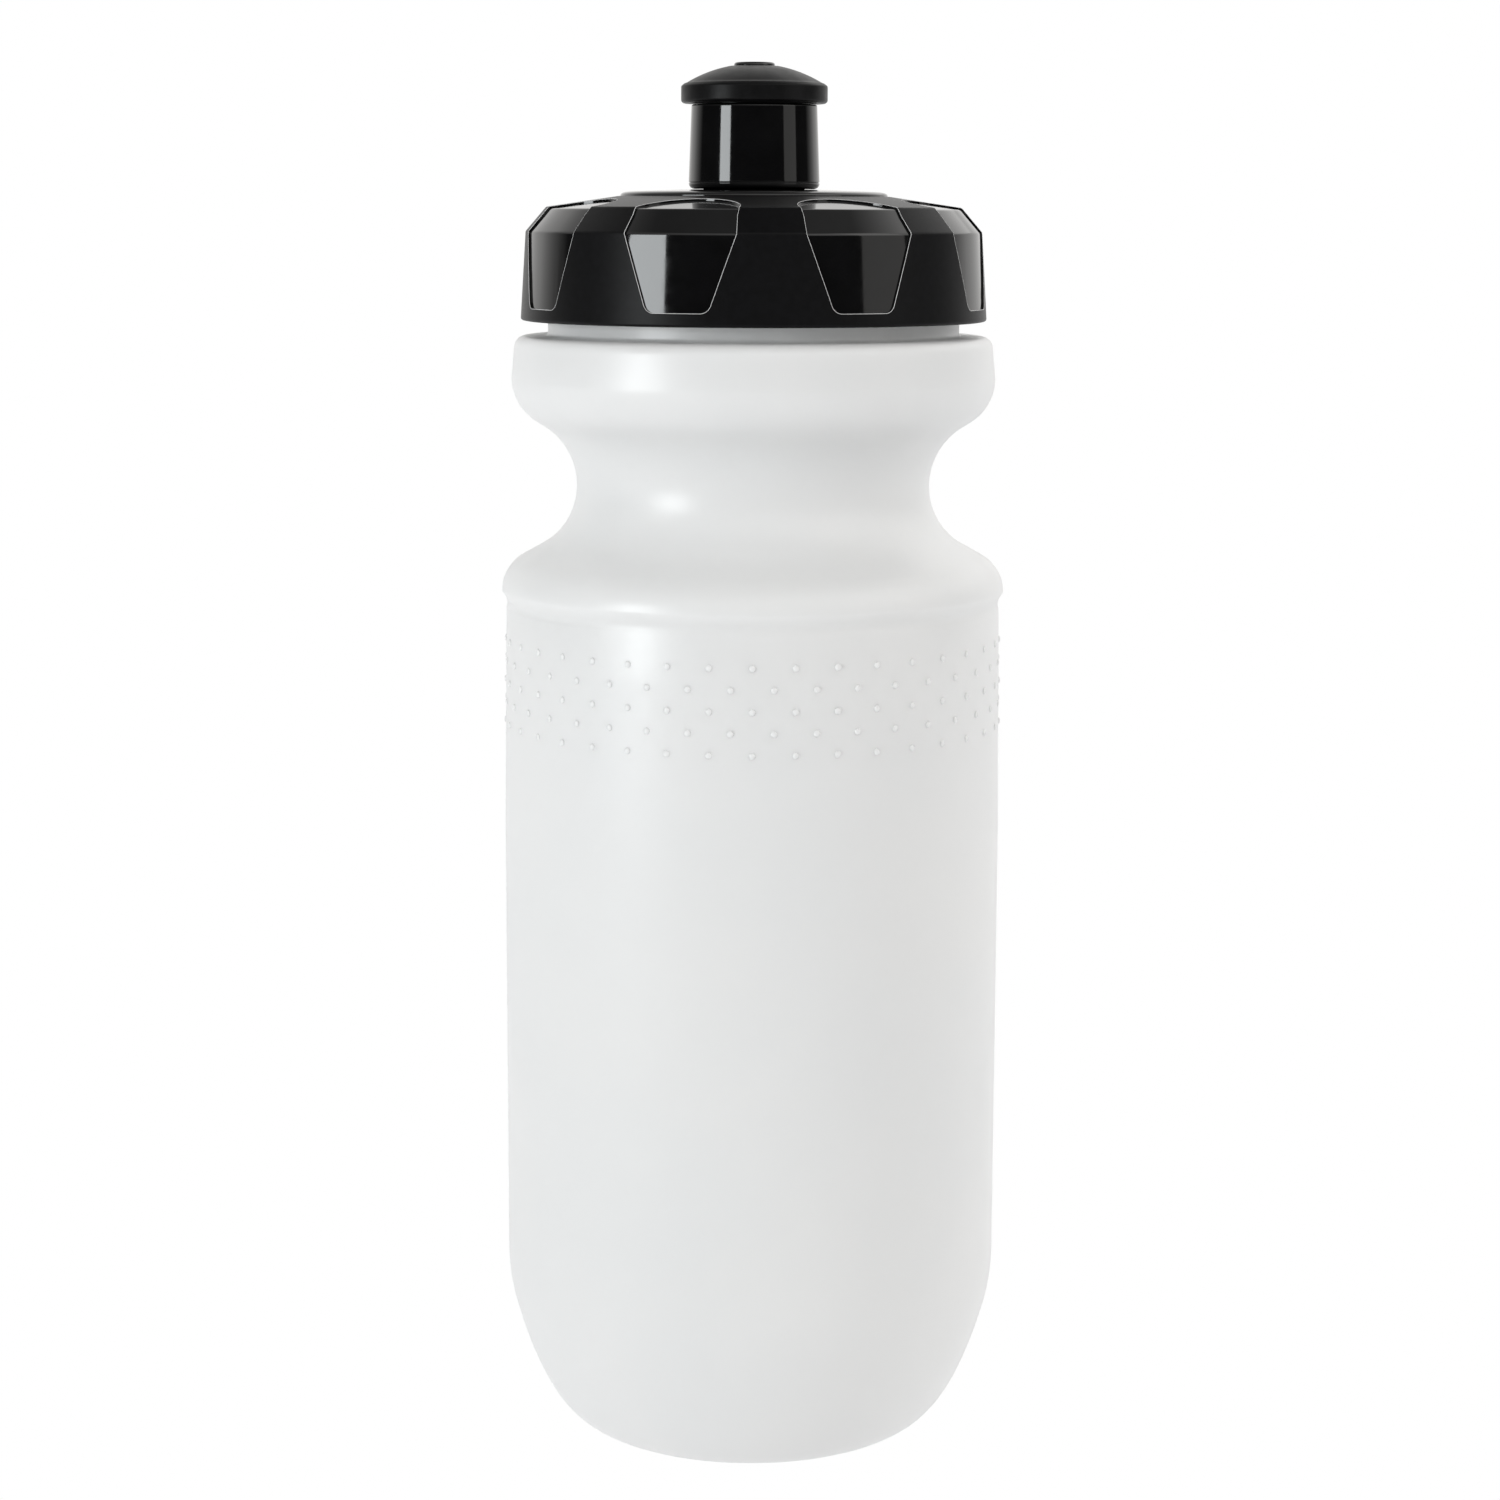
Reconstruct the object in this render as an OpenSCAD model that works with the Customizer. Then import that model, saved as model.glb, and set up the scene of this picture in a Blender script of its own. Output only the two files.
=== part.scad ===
// Squeeze bottle for a bicycle cage: blow-moulded body, screw lid and push-pull valve.
// Every piece turns about the Z axis. The bottle stands on Z = 0 and its front faces -Y.

/* [Body] */
// Radius of the straight barrel that a bottle cage grips
barrel_r = 36.75; // [32:0.25:45]
// Height of the barrel's upper end, where the grip ridge starts
barrel_top = 125; // [80:1:150]
// How much narrower the barrel is at its upper end
taper_w = 0.4; // [0:0.05:1]
// Height of the tapered stretch under that end
taper_h = 33; // [10:1:40]
// Wall thickness of the body
wall = 1.3; // [0.8:0.1:2]
// Radius of the ring that the bottle stands on
base_ring_r = 23.3; // [18:0.1:27]
// Width of that ring
base_ring_w = 3; // [1.5:0.1:4]
// Height of the dished base above the table
base_dish = 3; // [1:0.5:6]
// Radius of the dished base's level middle
dish_r = 14; // [8:0.5:16]
// Height at which the barrel turns in towards the base
foot_h = 22.2; // [16:0.1:30]
// Slope of the wall under that height, from upright
foot_slope = 15.7; // [10:0.1:20]
// Reach of the rounding there, up and down
foot_round = 4; // [1:0.1:6]

/* [Grip waist] */
// Height of the fine groove under the ridge
groove_h = 0.8; // [0.4:0.1:1.2]
// Depth of that groove
groove_depth = 0.25; // [0.1:0.05:0.5]
// How far the ridge above the groove stands out from the barrel's end
ridge_proud = 0.6; // [0.1:0.05:1]
// Height of the ridge's widest line above the barrel's end
ridge_rise = 1.4; // [0.8:0.1:3]
// Radius of the rounding above the ridge
ridge_round = 5.6; // [4:0.1:7]
// Radius at the bottom of the waist
waist_r = 25.9; // [24:0.1:30]
// Radius of the waist's hollow
waist_round = 10.2; // [8:0.1:12]
// Largest radius of the bulge above the waist
bulge_r = 35.35; // [33:0.05:38]
// Radius of the rounding under the bulge
bulge_round = 7.3; // [5:0.1:8]
// Steepest turn of the flank between ridge and waist, counted from upright
ridge_flank = 61; // [40:1:75]
// Steepest turn of the flank between waist and bulge
bulge_flank = 58; // [40:1:75]
// Height of the bulge's wall, from its widest line to the shoulder
bulge_h = 6.1; // [4:0.1:12]
// How far that wall leans in
bulge_lean = 0.4; // [0:0.1:1]
// Radius of the shoulder's edge
shoulder_round = 1.7; // [0.5:0.1:2.5]

/* [Neck] */
// Outer radius of the neck's wall behind the thread
neck_r = 28.6; // [26:0.1:30]
// Thickness of the neck's wall
neck_wall = 1.5; // [1:0.1:2.5]
// Height of the neck above the shoulder
neck_h = 14.8; // [12:0.1:20]
// Height of the thick collar at the neck's foot
neck_collar_h = 3; // [1:0.1:4]
// Depth of that collar beyond the neck's wall
neck_collar_proud = 1.4; // [0.5:0.1:1.5]

/* [Thread] */
// Rise of the thread in one turn
pitch = 5; // [4:0.25:6]
// Length of each thread in turns
thread_turns = 1.25; // [1:0.05:1.5]
// Depth of each thread
thread_depth = 1.3; // [0.8:0.1:1.4]
// Height of a thread at its root
thread_root_h = 2; // [1.5:0.1:2.2]
// Height of a thread at its crest
thread_crest_h = 0.9; // [0.5:0.1:1.2]
// Gap between a thread's crest and the wall it faces
thread_gap = 0.5; // [0.35:0.05:0.8]
// Gap between the two threads' flanks when the lid is closed
flank_gap = 0.35; // [0.3:0.05:0.6]
// Height of the neck thread's start above the neck collar
thread_rise = 2.3; // [1.8:0.1:2.6]

/* [Lid] */
// Gap between the shoulder and the closed lid
lid_gap = 2.2; // [1:0.1:3]
// Radius of the lid's skirt at its lower edge
skirt_bottom_r = 33.95; // [33.6:0.05:38]
// Radius of the lid's skirt at its chamfer
skirt_top_r = 33.15; // [33:0.05:37]
// Width of the lid's chamfer
chamfer_w = 3; // [1:0.1:4]
// Height of the lid's chamfer
chamfer_h = 3.5; // [1:0.1:5]
// Thickness of the lid's top over the gasket
lid_top_t = 2.2; // [1.6:0.1:4]
// Rise of the lid's top from its chamfer to the spout's collar
lid_cone_rise = 1.6; // [0.8:0.1:3]
// Number of smooth panels around the lid
panels = 8; // [6:1:9]
// Angle that the panels are turned by about the lid's axis
panel_turn = 4.2; // [-20:0.1:20]
// Width of a panel at the chamfer
panel_top_w = 16.3; // [10:0.1:18]
// Width of a panel at its lower end
panel_bottom_w = 9; // [6:0.1:12]
// Radius of a panel's lower corners
panel_round = 1.4; // [0.5:0.1:3]
// Height of a panel's lower end above the lid's edge
panel_rise = 1.9; // [1:0.1:4]
// Radius of the arch at a panel's upper end
panel_arch_r = 7.6; // [5:0.1:8]
// Depth of the panels below the lid's surface
panel_depth = 0.3; // [0.2:0.05:0.6]

/* [Gasket] */
// Thickness of the lid's gasket
gasket_t = 1.5; // [1:0.1:2.5]
// Width of the gasket beyond the neck's rim on each side
gasket_over = 0.5; // [0.2:0.1:0.8]

/* [Spout] */
// Radius of the spout's collar on top of the lid
collar_r = 19.4; // [16:0.1:21]
// Depth that the collar is let into the lid
collar_sunk = 1.5; // [1:0.1:2]
// Height of the collar's edge above the lid
collar_proud = 0.65; // [0.1:0.05:1]
// Width of the rounding on that edge
collar_round_w = 2; // [0.5:0.1:4]
// Height of that rounding
collar_round_h = 0.6; // [0.3:0.05:0.8]
// Rise of the collar from its edge to the flat around the stem
collar_rise = 0.25; // [0:0.05:1]
// Width of that flat beyond the valve
collar_flat_w = 1.6; // [0.5:0.1:3]
// Radius of the hub that snaps through the lid
hub_r = 12; // [10.5:0.1:14]
// How far the hub's snap bead stands out
snap_bead = 0.6; // [0.3:0.1:1]
// Outer radius of the stem that carries the valve
stem_r = 7.3; // [6:0.1:8]
// Thickness of the stem's wall
stem_wall = 1.5; // [1:0.1:2]
// Width of the bead that stops the valve at the stem's upper end
stop_bead = 0.8; // [0.5:0.1:1.2]
// Height of that bead
stop_bead_h = 1.6; // [1:0.1:3]
// Radius of the pin in the stem
pin_r = 1.8; // [1.2:0.1:2.2]
// Radius of the plug on the pin's end
plug_r = 2.95; // [2.4:0.05:3.4]
// Height of the plug
plug_h = 3; // [2:0.1:4]
// How far the plug stands out of the closed valve
plug_proud = 0.55; // [0.1:0.05:1]
// Radius of the rounding on the plug's edge
plug_round = 0.35; // [0.1:0.05:0.6]
// Number of spokes that hold the pin
spokes = 3; // [3:1:5]
// Width of a spoke
spoke_w = 1.4; // [1:0.1:2]
// Height of a spoke
spoke_h = 2.4; // [1.5:0.1:4]

/* [Valve] */
// Distance that the valve pulls out
valve_travel = 6; // [4:0.5:8]
// Outer radius of the sleeve at its lower end
sleeve_bottom_r = 9.5; // [9.2:0.05:11]
// Outer radius of the sleeve at its upper end
sleeve_top_r = 9.1; // [9:0.05:10.5]
// Height of the sleeve's outer wall
sleeve_h = 12; // [11:0.1:16]
// Height of the sleeve's inner lip, which runs on the stem
lip_h = 2.4; // [2.2:0.1:3]
// Width of the way for the drink around the plug
plug_way = 1.6; // [1:0.1:2.5]
// Thickness of the sleeve's roof under the mouthpiece
roof_t = 1.2; // [0.8:0.1:2]
// Radius of the rounding on the sleeve's lower edge
sleeve_round = 0.8; // [0.4:0.1:1.5]
// Width of the fine groove above that rounding
line_w = 0.2; // [0.1:0.05:0.4]
// Depth of that groove
line_depth = 0.12; // [0.05:0.01:0.2]
// Radius of the sleeve's neck inside the mouthpiece
sleeve_neck_r = 7.6; // [7:0.1:8]
// Height of the sleeve's neck
sleeve_neck_h = 3; // [2:0.1:3.5]
// Thickness of the seal ring
ring_t = 1.2; // [1:0.1:1.4]
// Radius of the mouthpiece's flange
flange_r = 10.6; // [10:0.05:12]
// Height of the flange's upright rim
flange_rim_h = 2.45; // [1.5:0.05:3.5]
// Radius of the rounding on the flange's lower edge
flange_round = 0.5; // [0.3:0.1:1]
// Size of the bevel on the flange's upper edge
flange_bevel = 0.5; // [0.2:0.1:1]
// Radius of the mouthpiece's dome
dome_r = 19; // [15:0.5:40]
// Width of the lip around the plug
mouth_lip_w = 0.6; // [0.3:0.1:1.5]
// Height of the whole mouthpiece
mouthpiece_h = 5.3; // [5:0.1:7]
// Gap that shows between the sleeve and the flange
flange_gap = 0.2; // [0.1:0.05:0.6]

/* [Fits] */
// Radial clearance of a piece that slides or turns on another
running_fit = 0.08; // [0.04:0.01:0.1]
// Clearance between two pieces that stay together
seat_fit = 0.04; // [0.02:0.01:0.1]
// Gap between the closed valve and the spout's collar
valve_gap = 0.1; // [0.05:0.05:0.6]
// Bevel on the edges that guide a piece into place
lead_in = 0.3; // [0.1:0.05:0.4]

/* [Hidden] */
$fn = 96;
arc_steps = 14;
thread_steps = 48;
thread_lead = 5;
embed = 0.4;
far_r = barrel_r + 20;

// Body: the rises between the centres of its roundings, and the heights they give
barrel_end_r = barrel_r - taper_w;
ridge_r = barrel_end_r + ridge_proud;
ridge_turn = flank_turn(ridge_r, ridge_round, ridge_flank);
bulge_turn = flank_turn(bulge_r, bulge_round, bulge_flank);
ridge_z = barrel_top + ridge_rise;
waist_z = ridge_z + flank_rise(ridge_r, ridge_round, ridge_turn);
bulge_z = waist_z + flank_rise(bulge_r, bulge_round, bulge_turn);
shoulder_z = bulge_z + bulge_h;

// Heights of the lid and the valve
rim_z = shoulder_z + neck_h;
lid_z = shoulder_z + lid_gap;
lid_seat_z = rim_z + gasket_t;
chamfer_top_z = lid_seat_z + lid_top_t;
chamfer_z = chamfer_top_z - chamfer_h;
chamfer_top_r = skirt_top_r - chamfer_w;
cone_top_z = chamfer_top_z + lid_cone_rise;
collar_seat_z = cone_top_z - collar_sunk;
collar_edge_z = cone_top_z + collar_proud;
collar_top_z = collar_edge_z + collar_rise;
sleeve_z = collar_top_z + valve_gap;
sleeve_top_z = sleeve_z + sleeve_h;
lip_top_z = sleeve_z + lip_h;
stop_z = lip_top_z + valve_travel + running_fit;
stem_top_z = stop_z + stop_bead_h;
flange_z = sleeve_top_z + flange_gap;
mouthpiece_top_z = flange_z + mouthpiece_h;
plug_top_z = mouthpiece_top_z + plug_proud;
plug_z = plug_top_z - plug_h;

// Radii that follow from the fits
mouth_r = neck_r - neck_wall;
lid_inner_r = neck_r + thread_depth + thread_gap;
stem_bore_r = stem_r - stem_wall;
sleeve_bore_r = stem_r + stop_bead + running_fit;
lip_r = stem_r + running_fit;
ring_mid_r = lip_r + ring_t / 2;
ring_z = sleeve_z + lip_h / 2;
thread_z = shoulder_z + neck_collar_h + thread_rise;
thread_overlap_h = (thread_root_h + thread_crest_h) / 2;
lid_thread_z = thread_z - thread_overlap_h - flank_gap;

// Distance inwards from a rounding's centre to the centre of the waist's hollow
function across(r, rounding) = waist_r + waist_round - (r - rounding);

// Turn of the flank from a rounding into the hollow, at most as steep as the two allow
function flank_turn(r, rounding, steepest) =
    min(steepest, acos(across(r, rounding) / (rounding + waist_round)));

// Rise between the centres of a rounding and the hollow, with a straight flank at that turn
function flank_rise(r, rounding, turn) =
    (rounding + waist_round - across(r, rounding) * cos(turn)) / sin(turn);

// Points on an arc about [x, y] from angle a to angle b
function arc(x, y, r, a, b, n = arc_steps) =
    [for (i = [0:n]) [x + r * cos(a + (b - a) * i / n), y + r * sin(a + (b - a) * i / n)]];

// Points on a curve that leaves p towards c and arrives at q from c
function curve(p, c, q, n = arc_steps) =
    [for (i = [0:n]) let (t = i / n) (1 - t) * (1 - t) * p + 2 * t * (1 - t) * c + t * t * q];

// Direction across the outline's stretch that ends at point i
function normal(path, i) = let (d = path[i] - path[i - 1]) [-d[1], d[0]] / norm(d);

// The same outline moved by t towards its left, with each stretch parallel to itself
function parallel(path, t) = let (last = len(path) - 1) [for (i = [0:last])
    let (m = normal(path, max(i, 1)), n = normal(path, min(i + 1, last)))
        path[i] + t * (m + n) / (1 + m * n)];

// The same outline without points that repeat the one before
function distinct(path) =
    [for (i = [0:len(path) - 1]) if (i == 0 || norm(path[i] - path[max(i, 1) - 1]) > 0.001) path[i]];

function reversed(path) = [for (i = [len(path) - 1:-1:0]) path[i]];

foot_low = [barrel_r - foot_round * tan(foot_slope), foot_h - foot_round];
foot_point = [foot_low[0] - foot_low[1] * tan(foot_slope), 0];

// Outside of the bottle from the base's centre to the shoulder, before the neck
shell_outline = distinct(concat(
    curve([0, base_dish], [dish_r, base_dish], [base_ring_r - base_ring_w, 0], 6),
    curve([base_ring_r, 0], foot_point, foot_low),
    curve(foot_low, [barrel_r, foot_h], [barrel_r, foot_h + foot_round], 6),
    [[barrel_r, barrel_top - taper_h], [barrel_end_r, barrel_top - groove_h],
     [barrel_end_r - groove_depth, barrel_top - groove_h / 4]],
    arc(ridge_r - ridge_round, ridge_z, ridge_round, 0, ridge_turn),
    arc(waist_r + waist_round, waist_z, waist_round, 180 + ridge_turn, 180 - bulge_turn),
    arc(bulge_r - bulge_round, bulge_z, bulge_round, -bulge_turn, 0),
    arc(bulge_r - shoulder_round - bulge_lean, shoulder_z - shoulder_round, shoulder_round, 0, 90, 6)
));

// Outside of the lid from its lower edge up to the spout's collar, and the panels' faces under it
lid_side = [[skirt_bottom_r, lid_z], [skirt_top_r, chamfer_z], [chamfer_top_r, chamfer_top_z],
            [collar_r + seat_fit, cone_top_z]];
panel_side = parallel(lid_side, panel_depth);

// One thread: a bar of trapezium section on a helix, thinned at both ends.
// side is 1 for a thread on the outside of a wall and -1 for one on the inside.
module thread(root_r, start_z, side) {
    n = round(thread_steps * thread_turns);
    least = 0.02;
    function depth(i) = thread_depth * min(1, i / thread_lead, (n - i) / thread_lead) + least;
    function section(i) = let (a = 360 * i / thread_steps, z = start_z + pitch * i / thread_steps)
        [for (p = [[-embed, -thread_root_h / 2], [depth(i), -thread_crest_h / 2],
                   [depth(i), thread_crest_h / 2], [-embed, thread_root_h / 2]])
            let (r = root_r + side * p[0]) [r * cos(a), r * sin(a), z + p[1]]];
    function quad(i, j) = let (a = 4 * i + j, b = 4 * i + (j + 1) % 4)
        side > 0 ? [[a, b, b + 4], [a, b + 4, a + 4]] : [[a, b + 4, b], [a, a + 4, b + 4]];
    ends = [[3, 2, 1, 0], [4 * n, 4 * n + 1, 4 * n + 2, 4 * n + 3]];
    polyhedron(
        points = [for (i = [0:n], p = section(i)) p],
        faces = concat([for (i = [0:n - 1], j = [0:3], f = quad(i, j)) f],
                       side > 0 ? ends : [for (e = ends) reversed(e)]),
        convexity = 6
    );
}

// A turned piece from its half section
module turned(outline) {
    rotate_extrude() polygon(outline);
}

// A ring with square edges, standing on z
module ring(outer_r, inner_r, z, h) {
    translate([0, 0, z]) difference() {
        cylinder(r = outer_r, h = h);
        translate([0, 0, -1]) cylinder(r = inner_r, h = h + 2);
    }
}

// Blow-moulded body with its neck and outer thread
module bottle() {
    inner = parallel(shell_outline, wall);
    color("whitesmoke", 0.75) union() {
        turned(concat(
            shell_outline,
            [[neck_r + neck_collar_proud, shoulder_z],
             [neck_r + neck_collar_proud, shoulder_z + neck_collar_h - neck_collar_proud / 2],
             [neck_r, shoulder_z + neck_collar_h],
             [neck_r, rim_z], [mouth_r, rim_z], [mouth_r, shoulder_z - wall]],
            reversed(inner)
        ));
        thread(neck_r, thread_z, 1);
    }
}

// Flat ring between the bottle's rim and the lid
module lid_gasket() {
    color("dimgray") ring(neck_r + gasket_over, mouth_r - gasket_over, rim_z, gasket_t);
}

// Space outside the panels' faces: skirt, chamfer and cone
module panel_space() {
    top = [panel_side[3][0], far_r + lid_z];
    turned(concat(panel_side, [top, [far_r, top[1]], [far_r, panel_side[0][1]]]));
}

// Outline of one panel: a tapering front face, and above it an arch seen from the top
module panel_prism() {
    low = lid_z + panel_rise;
    edge_z = panel_side[1][1];
    side_x = panel_top_w / 2;
    side_y = -sqrt(skirt_top_r * skirt_top_r - side_x * side_x);
    slope = atan((side_x - panel_bottom_w / 2) / (edge_z - low));
    right = concat(arc(panel_bottom_w / 2 - panel_round, low + panel_round, panel_round, -90, -slope, 6),
                   [[side_x, edge_z]]);
    left = [for (p = reversed(right)) [-p[0], p[1]]];
    rotate([90, 0, 0]) linear_extrude(far_r) polygon(concat(right, left));
    translate([0, 0, edge_z]) linear_extrude(far_r) {
        translate([0, -chamfer_top_r]) circle(panel_arch_r);
        polygon([[-panel_arch_r, -chamfer_top_r], [-side_x, side_y], [-side_x, -far_r],
                 [side_x, -far_r], [side_x, side_y], [panel_arch_r, -chamfer_top_r]]);
    }
}

// Screw lid with its ribs, smooth panels and inner thread
module screw_lid() {
    color("#1c1d1f") union() {
        difference() {
            turned(concat(
                [[skirt_bottom_r - lead_in, lid_z], [skirt_bottom_r, lid_z + lead_in]],
                [for (i = [1:3]) lid_side[i]],
                [[collar_r + seat_fit, collar_seat_z], [hub_r + seat_fit, collar_seat_z],
                 [hub_r + seat_fit, lid_seat_z], [lid_inner_r, lid_seat_z], [lid_inner_r, lid_z]]
            ));
            for (i = [0:panels - 1])
                rotate([0, 0, panel_turn + (i + 0.5) * 360 / panels]) intersection() {
                    panel_space();
                    panel_prism();
                }
        }
        thread(lid_inner_r, lid_thread_z, -1);
    }
}

// Snap-in spout: collar, hub, stem and the pin with its plug
module spout() {
    hub_z = lid_seat_z - 2 * snap_bead;
    color("#141516") union() {
        difference() {
            union() {
                turned(concat(
                    [[0, hub_z], [hub_r, hub_z], [hub_r + snap_bead, lid_seat_z - seat_fit],
                     [hub_r, lid_seat_z], [hub_r, collar_seat_z], [collar_r, collar_seat_z]],
                    curve([collar_r, collar_edge_z - collar_round_h], [collar_r, collar_edge_z],
                          [collar_r - collar_round_w, collar_edge_z], 8),
                    [[sleeve_bottom_r + collar_flat_w, collar_top_z], [0, collar_top_z]]
                ));
                translate([0, 0, hub_z]) cylinder(r = stem_r, h = stem_top_z - hub_z);
                turned([
                    [0, stop_z], [stem_r, stop_z], [stem_r + stop_bead, stop_z],
                    [stem_r + stop_bead, stem_top_z - stop_bead], [stem_r, stem_top_z], [0, stem_top_z]
                ]);
            }
            translate([0, 0, hub_z - 1]) cylinder(r = stem_bore_r, h = stem_top_z);
        }
        translate([0, 0, hub_z]) {
            cylinder(r = pin_r, h = plug_z - hub_z);
            for (i = [0:spokes - 1]) rotate([0, 0, (i + 0.5) * 360 / spokes])
                translate([0, -spoke_w / 2, 0]) cube([stem_bore_r + embed, spoke_w, spoke_h]);
        }
        turned(concat(
            [[0, plug_z - plug_r + pin_r], [pin_r, plug_z - plug_r + pin_r], [plug_r, plug_z]],
            arc(plug_r - plug_round, plug_top_z - plug_round, plug_round, 0, 90, 4),
            [[0, plug_top_z]]
        ));
    }
}

// Seal ring that the sleeve carries along the stem
module valve_o_ring() {
    color("#2a2a2c") translate([0, 0, ring_z]) rotate_extrude()
        translate([ring_mid_r, 0]) circle(d = ring_t - 2 * seat_fit, $fn = 32);
}

// Hard sleeve of the push-pull valve
module valve_sleeve() {
    line_z = sleeve_z + sleeve_round;
    groove_r = ring_mid_r + ring_t / 2 + seat_fit;
    roof_z = sleeve_top_z - roof_t;
    mouth = plug_r + plug_way;
    color("#101112") difference() {
        turned(concat(
            arc(sleeve_bottom_r - sleeve_round, sleeve_z + sleeve_round, sleeve_round, -90, 0, 6),
            [[sleeve_bottom_r - line_depth, line_z + line_w / 2], [sleeve_bottom_r, line_z + line_w],
             [sleeve_top_r, sleeve_top_z - lead_in], [sleeve_top_r - lead_in, sleeve_top_z],
             [sleeve_neck_r, sleeve_top_z], [sleeve_neck_r, sleeve_top_z + sleeve_neck_h],
             [mouth, sleeve_top_z + sleeve_neck_h], [mouth, roof_z], [sleeve_bore_r, roof_z],
             [sleeve_bore_r, lip_top_z], [lip_r, lip_top_z], [lip_r, sleeve_z]]
        ));
        ring(groove_r, stem_bore_r, ring_z - ring_t / 2 - seat_fit, ring_t + 2 * seat_fit);
    }
}

// Soft mouthpiece over the sleeve's neck
module mouthpiece() {
    bevel_z = flange_z + flange_rim_h;
    inside_z = sleeve_top_z + sleeve_neck_h + seat_fit;
    mouth_edge_r = plug_r + running_fit + mouth_lip_w;
    dome_z = mouthpiece_top_z - sqrt(dome_r * dome_r - mouth_edge_r * mouth_edge_r);
    color("#232426") turned(concat(
        arc(flange_r - flange_round, flange_z + flange_round, flange_round, -90, 0, 5),
        [[flange_r, bevel_z]],
        arc(0, dome_z, dome_r, acos((flange_r - flange_bevel) / dome_r), acos(mouth_edge_r / dome_r), 10),
        [[plug_r + running_fit, mouthpiece_top_z], [plug_r + running_fit, inside_z],
         [sleeve_neck_r + seat_fit, inside_z], [sleeve_neck_r + seat_fit, flange_z]]
    ));
}

bottle();
lid_gasket();
screw_lid();
spout();
valve_o_ring();
valve_sleeve();
mouthpiece();
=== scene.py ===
"""A bicycle squeeze bottle: milky body, black screw lid and push-pull drinking valve.

Everything is in metres, Z is up, the bottle stands on Z = 0 and its front faces -Y.
Turned pieces are modelled ring by ring, and the lid's panels are cut and rimmed.
"""

import logging
import math
from dataclasses import dataclass
from enum import Enum
from typing import Iterable, Sequence

import bpy
from bpy.types import Material, Node, NodeTree, Object
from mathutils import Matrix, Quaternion, Vector

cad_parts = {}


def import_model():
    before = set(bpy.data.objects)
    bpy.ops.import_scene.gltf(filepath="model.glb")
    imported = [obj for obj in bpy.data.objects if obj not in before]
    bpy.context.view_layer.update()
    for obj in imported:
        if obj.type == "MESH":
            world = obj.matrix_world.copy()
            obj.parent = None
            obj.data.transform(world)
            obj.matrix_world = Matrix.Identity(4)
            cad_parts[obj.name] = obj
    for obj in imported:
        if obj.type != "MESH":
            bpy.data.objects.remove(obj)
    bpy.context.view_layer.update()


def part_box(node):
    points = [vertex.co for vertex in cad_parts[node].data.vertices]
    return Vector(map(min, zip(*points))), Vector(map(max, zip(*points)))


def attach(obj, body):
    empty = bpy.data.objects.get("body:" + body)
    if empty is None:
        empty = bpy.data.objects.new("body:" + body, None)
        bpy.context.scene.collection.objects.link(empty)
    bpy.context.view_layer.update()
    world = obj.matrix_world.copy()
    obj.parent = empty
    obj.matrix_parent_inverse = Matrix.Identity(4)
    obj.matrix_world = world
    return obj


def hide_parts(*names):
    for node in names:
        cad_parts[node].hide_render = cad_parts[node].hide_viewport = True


MM = 0.001
WELD = 0.002 * MM
LOG = logging.getLogger("bottle")

Point = tuple[float, float]
Corner = tuple[float, float, float]
Colour = tuple[float, float, float]


class Body(Enum):
    """The bodies of the bottle that move against each other."""

    BOTTLE = "bottle"
    GASKET = "gasket"
    LID = "lid"
    SEAL = "seal"
    VALVE = "valve"


class Shading(Enum):
    """How a finished mesh is shaded: edges under this many degrees are smooth."""

    SOFT = 60.0
    CRISP = 28.0


# ---------------------------------------------------------------- outlines


def arc(centre: Point, radius: float, start: float, end: float, steps: int = 12) -> list[Point]:
    """Points on an arc in the half plane of radius and height.

    Args:
        centre: Radius and height of the arc's centre.
        radius: Radius of the arc.
        start: First angle in degrees, counted from outwards towards up.
        end: Last angle in degrees.
        steps: Number of pieces of the arc.

    Returns:
        The points from start to end.
    """
    angles = [math.radians(start + (end - start) * i / steps) for i in range(steps + 1)]
    return [(centre[0] + radius * math.cos(a), centre[1] + radius * math.sin(a)) for a in angles]


def curve(start: Point, control: Point, end: Point, steps: int = 12) -> list[Point]:
    """Points on a curve that leaves start towards control and arrives at end from it.

    Args:
        start: First point.
        control: Point that the curve bends towards.
        end: Last point.
        steps: Number of pieces of the curve.

    Returns:
        The points from start to end.
    """
    points = []
    for i in range(steps + 1):
        t = i / steps
        weights = ((1 - t) ** 2, 2 * t * (1 - t), t * t)
        spot = [sum(w * p[k] for w, p in zip(weights, (start, control, end))) for k in (0, 1)]
        points.append(tuple(spot))
    return points


def rounded(corners: Sequence[Corner], closed: bool = False, steps: int = 4) -> list[Point]:
    """An outline whose corners are rounded.

    Args:
        corners: Radius, height and rounding of each corner.
        closed: Whether the last corner joins the first.
        steps: Number of pieces of each rounding.

    Returns:
        The outline's points, with the first repeated at the end when it is closed.
    """
    count = len(corners)
    points: list[Point] = []
    for i, (r, z, rounding) in enumerate(corners):
        inner = closed or 0 < i < count - 1
        if not rounding or not inner:
            points.append((r, z))
            continue
        here = Vector((r, z))
        before = (Vector(corners[i - 1][:2]) - here).normalized()
        after = (Vector(corners[(i + 1) % count][:2]) - here).normalized()
        half = before.angle(after) / 2
        reach = rounding / math.tan(half)
        start, end = here + before * reach, here + after * reach
        middle = here + (before + after).normalized() * (rounding / math.sin(half))
        for k in range(steps + 1):
            spot = start.lerp(end, k / steps) - middle
            points.append(tuple(middle + spot.normalized() * rounding))
    return points + points[:1] if closed else points


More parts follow.
